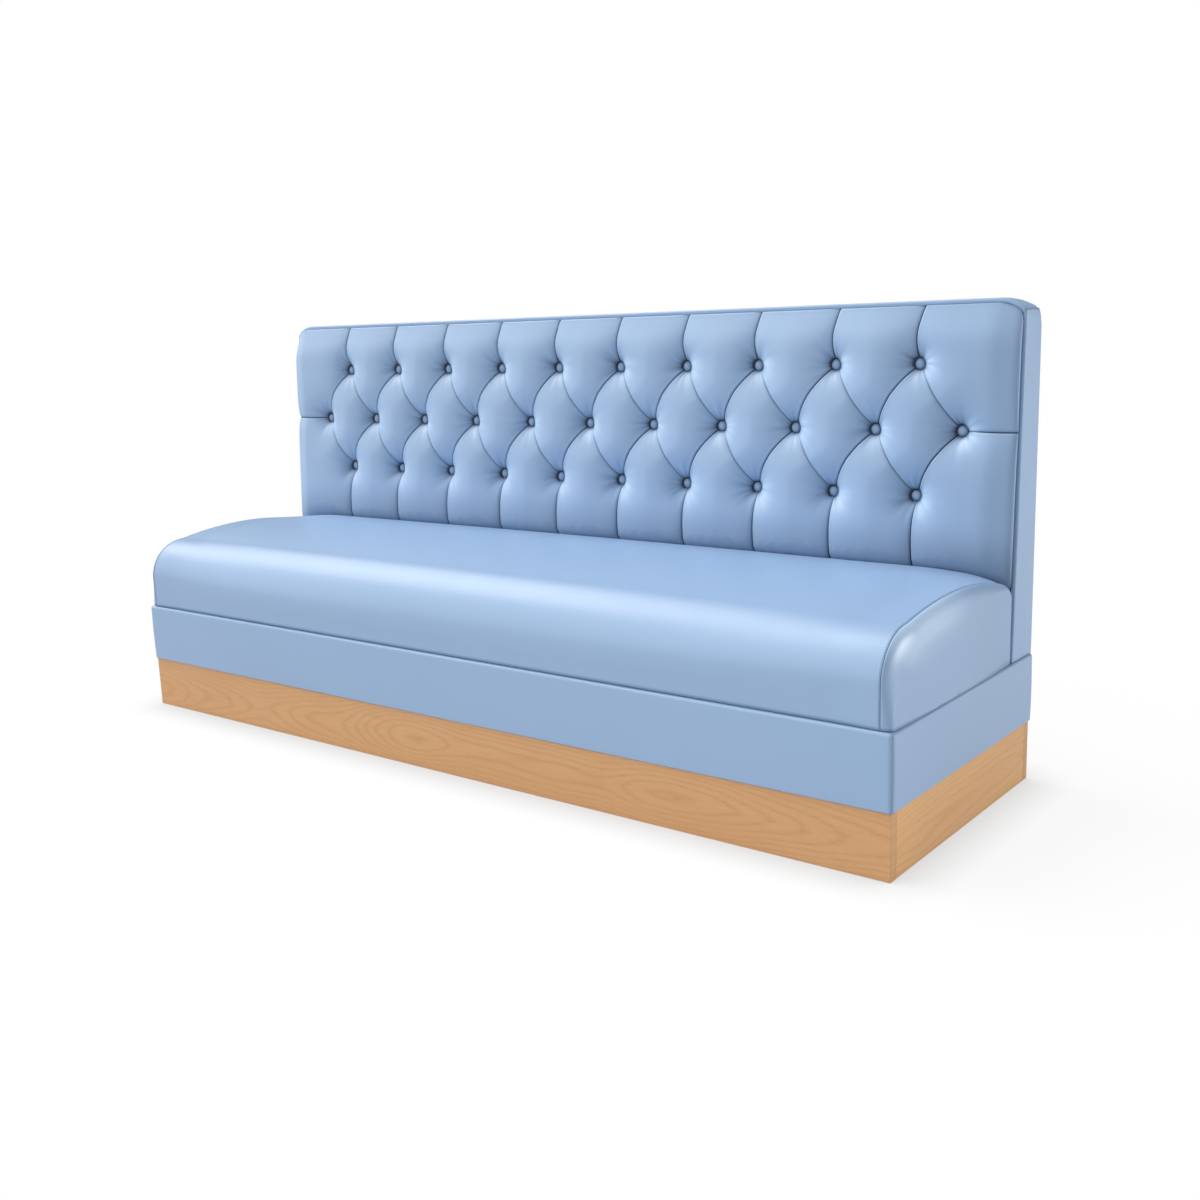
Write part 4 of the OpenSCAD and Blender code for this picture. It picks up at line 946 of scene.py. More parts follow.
def line(a, b, at):
    """Points on the fold or edge from a to b, at shares of its length."""
    first, last = (np.array(end) for end in ordered(a, b))
    t = at if tuple(first) == tuple(a) else 1 - at
    kind, across = fold_kind(first, last), last[0] - first[0]
    made = first + (last - first) * t[:, None] + 4 * (t * (1 - t))[:, None] * np.array(BULGE[kind])
    if kind == "up" and first[1] > PAD_TOP - NEAR:
        made[:, 0] = last[0] - across * (1 - t) ** 3 - 4 * t * (1 - t) * HIGH_BOW
    elif kind == "up":
        made[:, 0] = first[0] + across * t ** 2 - LOW_BOW * np.sin(np.pi * np.minimum(t / 0.42, 1))
    if kind == "rim" and abs(first[1] - last[1]) < 0.04 and min(first[1], last[1]) > MIDDLE_ROW:
        made[:, 1] = top_at(made[:, 0])
    return made


shares = graded(2 * STEPS)
print("fold kinds", KINDS)


# %% Patches between the folds
def patch(bottom, top, left, right, u, v):
    """A field of points between four edge lines that share their corners."""
    u, v = u[None, :, None], v[:, None, None]
    flat = ((1 - v) * bottom[None] + v * top[None] + (1 - u) * left[:, None] + u * right[:, None])
    corners = ((1 - u) * (1 - v) * bottom[0] + u * (1 - v) * bottom[-1]
               + (1 - u) * v * top[0] + u * v * top[-1])
    return flat - corners


def five_sided(corners):
    """Fields round the middle of a shape, one for each of its corners."""
    fine = shares[:STEPS + 1] * 2
    count = len(corners)
    sides = [line(corners[k], corners[(k + 1) % count], shares) for k in range(count)]
    centre = np.mean([s[STEPS] for s in sides], axis=0)
    made = []
    for k in range(count):
        ahead, behind = sides[k][:STEPS + 1], sides[k - 1][STEPS:][::-1]
        inward_a, inward_b = (s[-1] + (centre - s[-1]) * fine[:, None] for s in (ahead, behind))
        made.append(patch(ahead, inward_b, behind, inward_a, fine, fine))
    return made


fields = []
for i in range(-SIDE_PITCHES, SIDE_PITCHES):
    left, right = (i * PITCH, MIDDLE_ROW), ((i + 1) * PITCH, MIDDLE_ROW)
    top, bottom = ((i + 0.5) * PITCH, TOP_ROW), ((i + 0.5) * PITCH, LOW_ROW)
    fields.append(patch(line(left, bottom, shares), line(top, right, shares),
                        line(left, top, shares), line(bottom, right, shares), shares, shares))
for i in range(1 - SIDE_PITCHES, SIDE_PITCHES):
    left_x, right_x = (i - 0.5) * PITCH, (i + 0.5) * PITCH
    for row in (TOP_ROW, LOW_ROW):
        fields += five_sided([(left_x, row), (i * PITCH, MIDDLE_ROW), (right_x, row),
                              rim_end(right_x, row), rim_end(left_x, row)])
for side, last_x in ((-1, outer_places[0]), (1, outer_places[-1])):
    rim_x = side * PAD_HALF
    for row, corner_z in ((TOP_ROW, float(top_at(PAD_HALF))), (LOW_ROW, PAD_BOTTOM)):
        fields += five_sided([(last_x, row), (side * SIDE_PITCHES * PITCH, MIDDLE_ROW),
                              (rim_x, MIDDLE_ROW), (rim_x, corner_z), rim_end(last_x, row)])
print(len(fields), "fields,", sum(f.shape[0] * f.shape[1] for f in fields), "points")

# %% [markdown]
# The fields share their edges, so points that coincide are welded into one. Then each point
# needs its distance from the nearest fold, with the side that it lies on, and from the nearest
# button. A fold has one steep lip, below it, and one soft slope, above it.


# %% Weld the fields
def welded(fields):
    """One list of points and four-sided faces from fields that share edges."""
    points = np.vstack([f.reshape(-1, 2) for f in fields])
    keys = np.round(points / 2e-6).astype(np.int64)
    _, first, place = np.unique(keys, axis=0, return_index=True, return_inverse=True)
    place = place.ravel()
    faces, start = [], 0
    for f in fields:
        rows, columns = f.shape[:2]
        grid = place[start:start + rows * columns].reshape(rows, columns)
        quads = np.stack([grid[:-1, :-1], grid[:-1, 1:], grid[1:, 1:], grid[1:, :-1]], -1)
        a, b, c = (points[first[quads[..., k].ravel()[0]]] for k in (0, 1, 2))
        turn = (b[0] - a[0]) * (c[1] - a[1]) - (b[1] - a[1]) * (c[0] - a[0])
        quads = quads.reshape(-1, 4)
        faces.append(quads if turn > 0 else quads[:, ::-1])
        start += rows * columns
    return points[first], np.vstack(faces)


flat, quads = welded(fields)
print("welded to", len(flat), "points and", len(quads), "faces")


# %% Distances from folds and buttons
def all_folds():
    """Each fold as a line of points from its upper end, with its kind."""
    made = []
    for x, z in buttons:
        if abs(z - MIDDLE_ROW) > NEAR:
            made += [((x, z), (x - PITCH / 2, MIDDLE_ROW)), ((x, z), (x + PITCH / 2, MIDDLE_ROW)),
                     ((x, z), rim_end(x, TOP_ROW if z > MIDDLE_ROW else LOW_ROW))]
    made += [((side * SIDE_PITCHES * PITCH, MIDDLE_ROW), (side * PAD_HALF, MIDDLE_ROW))
             for side in (-1, 1)]
    return [(fold_kind(*ordered(a, b)), line(*ordered(a, b), np.linspace(0, 1, 61)))
            for a, b in made]


def from_line(points, path):
    """Distance from a line of points, and its side: 1 on the right, looking from its start."""
    best, side = np.full(len(points), 1e9), np.ones(len(points))
    for a, b in zip(path[:-1], path[1:]):
        way = b - a
        t = np.clip((points - a) @ way / (way @ way), 0, 1)
        gap = points - a - t[:, None] * way
        distance = np.hypot(gap[:, 0], gap[:, 1])
        closer = distance < best
        best = np.where(closer, distance, best)
        cross = way[0] * (points[:, 1] - a[1]) - way[1] * (points[:, 0] - a[0])
        side = np.where(closer, np.sign(cross), side)
    return best, side


FOLD_SEARCH = 0.12
fold_gap, fold_side = np.full(len(flat), 1.0), np.ones(len(flat))
fold_type = np.zeros(len(flat), int)
for kind, path in all_folds():
    near = np.flatnonzero(((flat > path.min(0) - FOLD_SEARCH)
                           & (flat < path.max(0) + FOLD_SEARCH)).all(1))
    gap, side = from_line(flat[near], path)
    closer = gap < fold_gap[near]
    hit = near[closer]
    fold_gap[hit], fold_side[hit], fold_type[hit] = gap[closer], side[closer], KINDS.index(kind)
offsets = flat[:, None, :] - buttons[None]
button_gaps = np.hypot(offsets[..., 0], offsets[..., 1])
button_gap = button_gaps.min(1)
button_way = offsets[np.arange(len(flat)), button_gaps.argmin(1)]
button_angle = np.degrees(np.arctan2(button_way[:, 0], -button_way[:, 1]))
print("distances worked out for", len(flat), "points")

# %% [markdown]
# The stuffing rises between the folds and sinks towards each button. Three finer things are laid
# over it: the narrow groove of each fold with its lip, small puckers that fan out from each
# button, and the roll-over at the rim. The left rim is a quarter of a circle. At the top and the
# right a small turn comes first, and then a long easy slope.

# %% Depth of the cover
TUFT_FLOOR, SWELL_LOW, SWELL_HIGH = 0.004, 0.042, 0.034
PLEAT_SHARE, PLEAT_REACH, TUFT_START, TUFT_REACH = 0.25, 0.022, 0.0095, 0.031
PAD_RECESS, PAD_EDGE, FOOT_DEPTH, ROLL_UNDER = 0.012, 0.030, 0.010, 0.031
TOP_LIP, TOP_TURN, TOP_SLOPE = 0.35, 0.005, 0.070
RIGHT_LIP, RIGHT_TURN, RIGHT_SLOPE = 0.55, 0.012, 0.060
RIM_DEPTH = PAD_RECESS + 0.001
# One value for each of KINDS.
GROOVE = np.array([0.0032, 0.0015, 0.0028, 0.0028])
SOFT_SIDE = np.array([0.0024, 0.0016, 0.0024, 0.0022])
STEEP_SIDE = np.array([0.0016, 0.0014, 0.0015, 0.0015])
LIP_RISE = np.array([0.0014, 0.0005, 0.0012, 0.0009])
STEEP_SIGN = np.array([1, 1, 1, -1])
LIP_AT, LIP_WIDTH, AT_BUTTON = 0.0032, 0.0015, 0.35
PUCKER_RISE, PUCKER_REACH, UNDER_BUTTON = 0.0012, 0.011, 0.0105
PUCKERS = [(-30, 6, 0.7), (-9, 6, 1.0), (14, 6, 1.0), (40, 6, 0.8), (66, 7, 0.9), (92, 7, 0.8),
           (118, 9, 0.5), (-62, 6, 0.7), (-80, 5, 0.9), (-98, 5, 1.0), (-117, 6, 0.7),
           (-138, 7, 0.5)]


def bell(value, middle, width):
    """1 at the middle, and less on both sides of it."""
    return np.exp(-((value - middle) / width) ** 2)


def fading(gap, reach):
    """1 up to a place, and less beyond it."""
    return np.exp(-np.maximum(0, gap) / reach)


def turned(gap, radius):
    """Rises from 0 to 1 like a quarter of a circle."""
    return np.sqrt(1 - (1 - np.clip(gap / radius, 0, 1)) ** 2)


def turned_and_sloped(gap, lip, radius, slope):
    """A small quarter turn first, then a long easy slope."""
    return lip * turned(gap, radius) + (1 - lip) * np.sin(np.pi / 2 * np.clip(gap / slope, 0, 1))


tuck_z = crown_z(flat[:, 0], SEAT_REAR - REAR_ROLL) + 0.002
up_share = (flat[:, 1] - tuck_z) / (PAD_TOP - tuck_z)
swell = SWELL_LOW + (SWELL_HIGH - SWELL_LOW) * up_share
depth = TUFT_FLOOR + swell * (1 - PLEAT_SHARE * fading(fold_gap, PLEAT_REACH)
                              - (1 - PLEAT_SHARE) * fading(button_gap - TUFT_START, TUFT_REACH))
steep = fold_side * STEEP_SIGN[fold_type] > 0
clear_of_button = smooth((button_gap - 0.010) / 0.020)
width = np.where(steep, STEEP_SIDE[fold_type], SOFT_SIDE[fold_type])
pucker = sum(size * bell((button_angle - angle + 180) % 360 - 180, 0, spread)
             for angle, spread, size in PUCKERS)
reach = np.maximum(0, button_gap - PUCKER_REACH) / PUCKER_REACH
gather = reach * np.exp(1 - reach)
depth += PUCKER_RISE * pucker * gather * smooth(fold_gap / 0.006)
lip = np.where(steep, bell(fold_gap, LIP_AT, LIP_WIDTH), 0) * clear_of_button
groove_share = fading(fold_gap, width) * (AT_BUTTON + (1 - AT_BUTTON) * clear_of_button)
depth += LIP_RISE[fold_type] * lip - GROOVE[fold_type] * groove_share
depth = np.where(button_gap < UNDER_BUTTON, TUFT_FLOOR - 0.0005, depth)
side_gap, top_gap = PAD_HALF - np.abs(flat[:, 0]), top_at(flat[:, 0]) - flat[:, 1]
top_share = turned_and_sloped(top_gap, TOP_LIP, TOP_TURN, TOP_SLOPE)
side_share = np.where(flat[:, 0] < 0, turned(side_gap, PAD_EDGE),
                      turned_and_sloped(side_gap, RIGHT_LIP, RIGHT_TURN, RIGHT_SLOPE))
depth = RIM_DEPTH + (depth - RIM_DEPTH) * side_share * top_share
tucked = smooth((tuck_z - flat[:, 1]) / ROLL_UNDER)
depth += (FOOT_DEPTH - depth) * tucked
print("cover depth from", round(depth.min() * 1000, 1), "to", round(depth.max() * 1000, 1), "mm")

# %% [markdown]
# A cover this deep never shows one even colour. Shade is painted into its hollows, most of all to
# the upper left of each button and down by the seat, and highlights are painted where the vinyl
# is stretched over an edge, beside a fold and to the lower right of a button, and a little over
# the whole pad. One stored number holds the sum of these painted marks. Each is a strength times
# a curve of the distances that are known already.

# %% Marks on the cover
# All of these marks are painted light: painted shade where the number is above 0, a painted
# highlight below 0.
PAINTED_FOLD_SHADE, LIGHT_LINE = np.array([2.3, 1.265, 2.07, 1.955]), np.array([1.0, 0.2, 0.6, 0.4])
RING_EDGE, PAINTED_RING_SHADE, RING_REACH = 0.012, 1.3, 0.0030
PAINTED_HALO_SHADE, HALO_REACH, PAINTED_WIDE_SHADE, WIDE_REACH = 0.95, 0.0105, 0.11, 0.045
PAINTED_LOBE_LIGHT, LOBE_LIGHT_FROM, LOBE_LIGHT_REACH, PAINTED_PAD_LIGHT = 0.95, 0.0115, 0.0095, 0.13
PAINTED_TOP_RIM_SHADE, PAINTED_SIDE_RIM_SHADE, PAINTED_UPRIGHT_SHADE, PAINTED_ROLL_LIGHT, PAINTED_END_SHADE = 0.50, 0.12, 0.42, 0.28, 0.27
SEAT_SHADE, CREST_LIGHT, PAINTED_TICK_SHADOW, TICK_DEPTH = 0.60, 0.12, 0.9, 0.0012
x, z = flat.T
past_ring = button_gap - RING_EDGE
shaded_side = (0.5 * button_way[:, 1] - 0.85 * button_way[:, 0]) / np.maximum(button_gap, 1e-6)
beyond = np.maximum(0, button_gap - LOBE_LIGHT_FROM) / LOBE_LIGHT_REACH
# Painted shade round each button, and a painted highlight to its lower right and over the whole
# pad.
painted_tints = PAINTED_HALO_SHADE * smooth(0.5 + 0.7 * shaded_side) * fading(past_ring, HALO_REACH)
painted_tints += PAINTED_WIDE_SHADE * smooth(0.5 + 0.6 * shaded_side) * fading(past_ring, WIDE_REACH)
painted_tints -= PAINTED_LOBE_LIGHT * smooth(0.38 - 0.75 * shaded_side) * beyond * np.exp(1 - beyond) + PAINTED_PAD_LIGHT
# A painted highlight along the steep lip of each fold.
light = np.where(steep, bell(fold_gap, 0.0022, 0.0011), 0) * clear_of_button
painted_tints -= light * LIGHT_LINE[fold_type]
# Painted shade along the top and side rims, and to the left of the upright folds.
painted_tints += PAINTED_TOP_RIM_SHADE * bell(top_gap, 0, 0.006) + PAINTED_SIDE_RIM_SHADE * fading(side_gap, 0.008)
painted_tints += np.where((fold_type == KINDS.index("up")) & ~steep & (z > TOP_ROW), PAINTED_UPRIGHT_SHADE, 0) * np.exp(
    -fold_gap / 0.013 - (z - TOP_ROW) / 0.055)
# A painted highlight along the roll above each fold that falls to the left.
painted_tints -= np.where((fold_type == KINDS.index("left")) & ~steep, PAINTED_ROLL_LIGHT, 0) * bell(
    fold_gap, 0.0050, 0.0028) * clear_of_button
# Painted shade towards the right end and down by the seat, and a painted highlight near the top.
painted_tints += PAINTED_END_SHADE * smooth((x - 0.60) / 0.45)
painted_tints += SEAT_SHADE * (1 - smooth((z - tuck_z) / 0.10)) - CREST_LIGHT * smooth((z - 0.86) / 0.05)
# Painted shade in each fold's groove and in a ring round each button.
painted_light_values = PAINTED_FOLD_SHADE[fold_type] * np.exp(-fold_gap / np.where(steep, 0.0007, 0.0015))
painted_light_values = np.maximum(painted_light_values, PAINTED_RING_SHADE * fading(past_ring, RING_REACH)) + painted_tints
# A short painted shadow beside the top end of each upright fold.
for place in outer_places:
    beside = smooth((place + HOOK - x) / 0.004) * smooth((x - place - HOOK + 0.024) / 0.016)
    tick = bell(top_gap, 0.0035, 0.0016) * beside
    painted_light_values += tick * PAINTED_TICK_SHADOW
    depth -= tick * TICK_DEPTH
print("marks from", round(float(painted_light_values.min()), 2), "to", round(float(painted_light_values.max()), 2))

# %% [markdown]
# The pad is fuller than the opening between its borders, so its rim swells over them a little:
# less towards the top corners, and on the left less at the fold that runs out level. The front
# gets a rim and a flat rear face, which close the piece.

# %% Build the buttoned cover
# Faces that lie hidden behind the borders get a fixed painted shade.
LEFT_BULGE, RIGHT_BULGE, TOP_BULGE, HIDDEN_SHADE = 0.019, 0.0115, 0.0070, 0.6
side_roll = 4 * side_share * (1 - side_share) * (1 - tucked) * smooth(1 - side_gap / PAD_EDGE)
top_roll = 4 * top_share * (1 - top_share) * smooth(1 - top_gap / PAD_EDGE)
notch = 1 - 0.3 * np.exp(-np.abs(z - MIDDLE_ROW) / 0.012)
sideways = np.where(x < 0, -LEFT_BULGE * (1.25 - 0.35 * up_share) * notch, RIGHT_BULGE) * side_roll
sideways *= smooth(np.where(x < 0, (top_gap + 0.030) / 0.105, (top_gap + 0.010) / 0.030))
front = np.column_stack([x + sideways, front_y(z) + PAD_RECESS - depth, z + TOP_BULGE * top_roll])
edges = np.sort(np.stack([quads, np.roll(quads, -1, axis=1)], -1).reshape(-1, 2), axis=1)
edge_keys, edge_counts = np.unique(edges, axis=0, return_counts=True)
rim_edges = edge_keys[edge_counts == 1]
neighbours = {}
for a, b in rim_edges:
    neighbours.setdefault(int(a), []).append(int(b))
    neighbours.setdefault(int(b), []).append(int(a))
walk = [int(rim_edges[0][0])]
while True:
    nexts = [n for n in neighbours[walk[-1]] if len(walk) < 2 or n != walk[-2]]
    if nexts[0] == walk[0]:
        break
    walk.append(nexts[0])
rear = front[walk].copy()
rear[:, 1] = front_y(rear[:, 2]) + PAD_RECESS
start, count = len(front), len(walk)
faces = [tuple(int(i) for i in q) for q in quads]
faces += [(walk[k], walk[(k + 1) % count], start + (k + 1) % count, start + k)
          for k in range(count)]
faces.append(tuple(range(start, start + count)))
tufted = make_piece("buttoned_cover", np.vstack([front, rear]), faces, vinyl.material,
                    ("back_tufted_cover", "back_foam"),
                    np.concatenate([painted_light_values, np.full(count, HIDDEN_SHADE)]))
gather *= smooth(fold_gap / 0.004) * smooth(0.9 + 0.5 * (np.abs(shaded_side) - 0.4))
store(tufted.data, "drawn", np.concatenate([gather, np.zeros(count)]))
print("buttoned cover:", len(front) + count, "points, rim of", count)

# %% [markdown]
# ## Covered buttons
#
# Each button is a metal shell with vinyl drawn over it and gathered behind. Seen from the side
# it is a dome whose edge turns under, and that undercut makes the dark ring round it, helped by
# painted shade: the whole button is painted a little darker, and more towards its foot. One
# profile is spun into a button and copied to all the places, tilted with the leaning back.

# %% Buttons on the cover
BUTTON_RADIUS, BUTTON_DOME, PAINTED_BUTTON_SHADE, AROUND = 0.0115, 0.008, 0.32, 28
PROFILE = [(0.22, 0.985), (0.45, 0.92), (0.66, 0.80), (0.83, 0.63), (0.95, 0.44), (1.0, 0.28),
           (0.985, 0.14), (0.90, 0.04), (0.72, 0.0)]
lean = math.atan(LEAN)
sideward = np.array([1.0, 0.0, 0.0])
outward = np.array([0.0, -math.cos(lean), math.sin(lean)])
upward = np.array([0.0, math.sin(lean), math.cos(lean)])
points, faces, painted_light_values = [], [], []
for x, z in buttons:
    seat_point = np.array([x, front_y(z) + PAD_RECESS, z]) + outward * TUFT_FLOOR
    start = len(points)
    points.append(seat_point + outward * BUTTON_DOME)
    painted_light_values.append(PAINTED_BUTTON_SHADE)
    for r, h in PROFILE:
        for turn in 2 * math.pi * np.arange(AROUND) / AROUND:
            points.append(seat_point + outward * (h * BUTTON_DOME)
                          + (sideward * math.cos(turn) + upward * math.sin(turn))
                          * (r * BUTTON_RADIUS))
            # Painted shade, deeper towards the button's foot.
            painted_light_values.append(PAINTED_BUTTON_SHADE + max(0.0, 1.5 - h * 1.55))
    faces += [(start, start + 1 + k, start + 1 + (k + 1) % AROUND) for k in range(AROUND)]
    faces += joined(len(PROFILE), AROUND, start=start + 1)
    faces.append(tuple(range(len(points) - AROUND, len(points))))
make_piece("covered_buttons", points, faces, vinyl.material, ("back_buttons",), painted_light_values)
print(len(buttons), "covered buttons")

# %% [markdown]
# ## The borders of the back
#
# Stiffened vinyl borders close the sides and the top. Each is a strip of skin wrapped round the
# front edge of a thin board, so one section, drawn across the strip, serves all three: a lip
# beside the pad, a rounded front corner, a nearly flat face and a rounded rear corner. The
# section is swept up the sides, and along the top, where it follows the curved ends.

# %% Border section
REAR_TOP_EDGE, LIP, LIP_DEPTH, FRONT_ROUND, REAR_ROUND = 0.060, 0.0013, 0.012, 0.0040, 0.0024
BORDER_TOP, REAR_TOP = BACK_HEIGHT - TOP_DROP, BACK_HEIGHT - REAR_TOP_EDGE
BORDER_FULL, BORDER_DIP, DIP_REACH, LIP_ROUND = 0.0007, 0.0012, 0.0016, 0.0016
# The last two numbers are painted shade: in the dip beside each seam and inside the lip.
INNER_LIP, INSIDE, PAINTED_DIP_SHADE, PAINTED_LIP_SHADE = -BORDER_BOARD - 0.0002, 0.0006, 0.9, 0.4
BORDER_FOOT = BASE_TOP + 0.0004


def rear_y(z):
    """Y of the rear face at a height, over the rounded top edge."""
    over = np.maximum(0, np.asarray(z, float) - REAR_TOP)
    return BACK_REAR - REAR_TOP_EDGE + np.sqrt(REAR_TOP_EDGE ** 2 - over ** 2)


# Outward distance from the board's outer face, and distance behind the front edge.
lip_part = np.vstack([
    [[INNER_LIP, LIP_DEPTH]],
    arc((INNER_LIP + LIP_ROUND, LIP_ROUND - LIP), LIP_ROUND, 180, 270, 4),
    arc((BORDER_SKIN - FRONT_ROUND, FRONT_ROUND - LIP), FRONT_ROUND, -90, 0, 7)])
print("the lip's section has", len(lip_part), "points")


# %% Side borders
def side_border(name, side, node):
    heights = np.concatenate([[0, 0.0012, 0.004, 0.01], np.linspace(0.02, 0.98, 40),
                              [0.996, 0.998, 0.9992, 1.0]])
    points, painted_light_values = [], []
    for share in heights:
        z = BORDER_FOOT + (BORDER_TOP - BORDER_FOOT) * share
        front, rear = front_y(z), float(rear_y(z))
        dip = BORDER_DIP * math.exp(-min(z - BASE_TOP, BORDER_TOP - z) / DIP_REACH)
        face = np.linspace(front + FRONT_ROUND - LIP + 0.004, rear - REAR_ROUND - 0.002, 9)
        wide = (face - face[0]) / (face[-1] - face[0])
        section = np.vstack([
            np.column_stack([lip_part[:, 0], front + lip_part[:, 1]]),
            np.column_stack([BORDER_SKIN + BORDER_FULL * np.sin(np.pi * wide), face]),
            arc((BORDER_SKIN - REAR_ROUND, rear - REAR_ROUND), REAR_ROUND, 0, 90, 4),
            [[0.0001, rear], [0.0001, front + INSIDE], [-BORDER_BOARD, front + INSIDE],
             [-BORDER_BOARD, front + LIP_DEPTH]],
        ])
        for out, y in section:
            shown = out > 0.002 or y < front
            lift = out - (dip if shown else 0.0)
            slant = (BORDER_SKIN - out) * share ** 6
            points.append((side * (HALF_LENGTH - BORDER_SKIN + lift), y, z - slant))
            near_lip = max(0.0, 1 - abs(y - front - LIP_DEPTH) / 0.008) * (out < 0)
            painted_light_values.append((PAINTED_DIP_SHADE * dip / BORDER_DIP if shown else HIDDEN_SHADE)
                           + PAINTED_LIP_SHADE * near_lip)
    piece = make_piece(name, points, capped(len(heights), len(section)), vinyl.material,
                       (node,), painted_light_values)


side_border("border_left", -1, "back_left_border")
side_border("border_right", 1, "back_right_border")
print("two side borders")

# %% [markdown]
# The top border also rolls over the rear edge and runs down to the rear cover, between the side
# borders. Its height at any place is the lower of two curves, one seen from the front and one
# seen from the side, which is how a shaped board would be cut.

# %% Top border
STRIP_END = HALF_LENGTH - BORDER_SKIN
FLAT_SHARE, EDGE_Y = 0.2, BACK_REAR - REAR_TOP_EDGE
turns = CORNER_TURN * np.array([0.08, 0.2, 0.35, 0.5, 0.65, 0.78, 0.88, 0.95, 0.985, 1.0])
end_stations = [(CORNER_X + TOP_CORNER * math.sin(t), t) for t in turns]
stations = ([(-x, -t) for x, t in end_stations[::-1]]
            + [(x, 0.0) for x in np.linspace(-CORNER_X, CORNER_X, 96)] + end_stations)


def top_section(x, turn):
    """Points of the section at one place along the top, each with its crease."""
    crest = CORNER_Z + TOP_CORNER * math.cos(turn)
    deeper = 1 + (math.sqrt(2) - 1) * (abs(turn) / CORNER_TURN) ** 4
    dip = BORDER_DIP * math.exp(-TOP_CORNER * (CORNER_TURN - abs(turn)) / DIP_REACH)
    front = front_y(crest)
    begin = front + FRONT_ROUND - LIP
    lowest = REAR_TOP if abs(x) < STRIP_END else BORDER_TOP

    def at(out, y, mark):
        """A point at an outward distance from the board's outer face."""
        push = (BORDER_SKIN - out) * (deeper if out < BORDER_SKIN else 1.0)
        return x - math.sin(turn) * push, y, crest - math.cos(turn) * push, mark

    seam_shade = PAINTED_DIP_SHADE * dip / BORDER_DIP
    made = [at(out - dip, front + behind, seam_shade + PAINTED_LIP_SHADE * (behind > 0.004) * (out < 0))
            for out, behind in lip_part]
    for share in np.linspace(0, 1, 22)[1:]:
        if share < FLAT_SHARE:
            y, z = begin + (EDGE_Y - begin) * share / FLAT_SHARE, crest
        else:
            drop = (BACK_HEIGHT - lowest) * ((share - FLAT_SHARE) / (1 - FLAT_SHARE)) ** 1.6
            over = max(0.0, REAR_TOP_EDGE - drop)
            y, z = EDGE_Y + math.sqrt(REAR_TOP_EDGE ** 2 - over ** 2), min(crest, REAR_TOP + over)
        z = max(z, lowest)
        # Painted shade where the rear roll runs down to the rear cover.
        mark = 0.7 * math.exp(-(z - lowest) / 0.0016) if share > 0.5 else 0.0
        made.append((x - math.sin(turn) * dip, y - 0.0008 * mark, z - math.cos(turn) * dip,
                     mark + seam_shade))
    last = made[-1]
    return made + [
        (last[0], last[1] - BORDER_SKIN, last[2] + 0.0002, HIDDEN_SHADE),
        (last[0] - math.sin(turn) * 0.006, front + 0.03, crest - 0.0062, HIDDEN_SHADE),
        at(-0.0002, front + INSIDE, HIDDEN_SHADE), at(-BORDER_BOARD, front + INSIDE, HIDDEN_SHADE),
        at(-BORDER_BOARD, front + LIP_DEPTH, HIDDEN_SHADE)]


sections = np.array([top_section(x, turn) for x, turn in stations])
rows, columns = sections.shape[:2]
points = sections.reshape(-1, 4)
top_border = make_piece("border_top", points[:, :3], capped(rows, columns), vinyl.material,
                        ("back_top_border",), points[:, 3])
print("top border:", rows, "stations of", columns)

# %% [markdown]
# ## The rear cover
#
# A plain cloth of vinyl is stretched over the rear board. It starts as the board's outline, is
# carried round a soft edge and rises by a fraction of a millimetre towards its middle.

# %% Rear cover
COVER_THICK, COVER_EDGE, COVER_CROWN, SPACING = 0.0019, 0.0018, 0.0003, 0.06
corners = np.array([[-STRIP_END, BORDER_FOOT], [STRIP_END, BORDER_FOOT], [STRIP_END, REAR_TOP],
                    [-STRIP_END, REAR_TOP]])
outline = []
for a, b in zip(corners, np.roll(corners, -1, axis=0)):
    count = int(np.ceil(np.linalg.norm(b - a) / SPACING))
    outline.append(a + (b - a) * np.linspace(0, 1, count + 1)[:-1, None])
outline = np.vstack(outline)
way = np.roll(outline, -1, axis=0) - np.roll(outline, 1, axis=0)
way /= np.linalg.norm(way, axis=1)[:, None]
inward = np.column_stack([-way[:, 1], way[:, 0]])
# The third number of each row is painted shade, darkest at the cover's edge.
rows = [(0.0, 0.0, 0.7)] + [
    (COVER_EDGE * (1 - math.cos(t)), COVER_THICK - COVER_EDGE + COVER_EDGE * math.sin(t),
     0.5 * (1 - k / 6)) for k, t in enumerate(np.radians([0, 12, 25, 40, 55, 70, 90]))]
rows += [(COVER_EDGE + inset, COVER_THICK + COVER_CROWN * rise, 0.0)
         for inset, rise in ((0.010, 0.5), (0.022, 0.9), (0.034, 1.0))]
points = [(x, BACK_REAR - 0.002 + height, z)
          for inset, height, _ in rows for x, z in outline + inset * inward]
rear_cover = make_piece("rear_cover", points, capped(len(rows), len(outline)), vinyl.material,
                        ("back_rear_cover",),
                        np.repeat([mark for _, _, mark in rows], len(outline)))
print("rear cover stretched over its board")

# %% [markdown]
# ## Floor and light
#
# A pale floor and a white surround keep the eye on the bench. The floor glows white, and the glow
# is painted darker where the bench closes it in, a painted contact shadow; close to the bench some
# plain paper with its real soft shadow shows through. Only rays that are seen straight, in a gloss
# or through glass meet that glow. All the others meet grey paper, which throws less light back at
# the bench. Three lamps shape it: a broad key at the upper left front, a narrower strip from the
# upper left, which lights the seat's crest, and a low fill from the right rear. The surround
# opens the shadows.

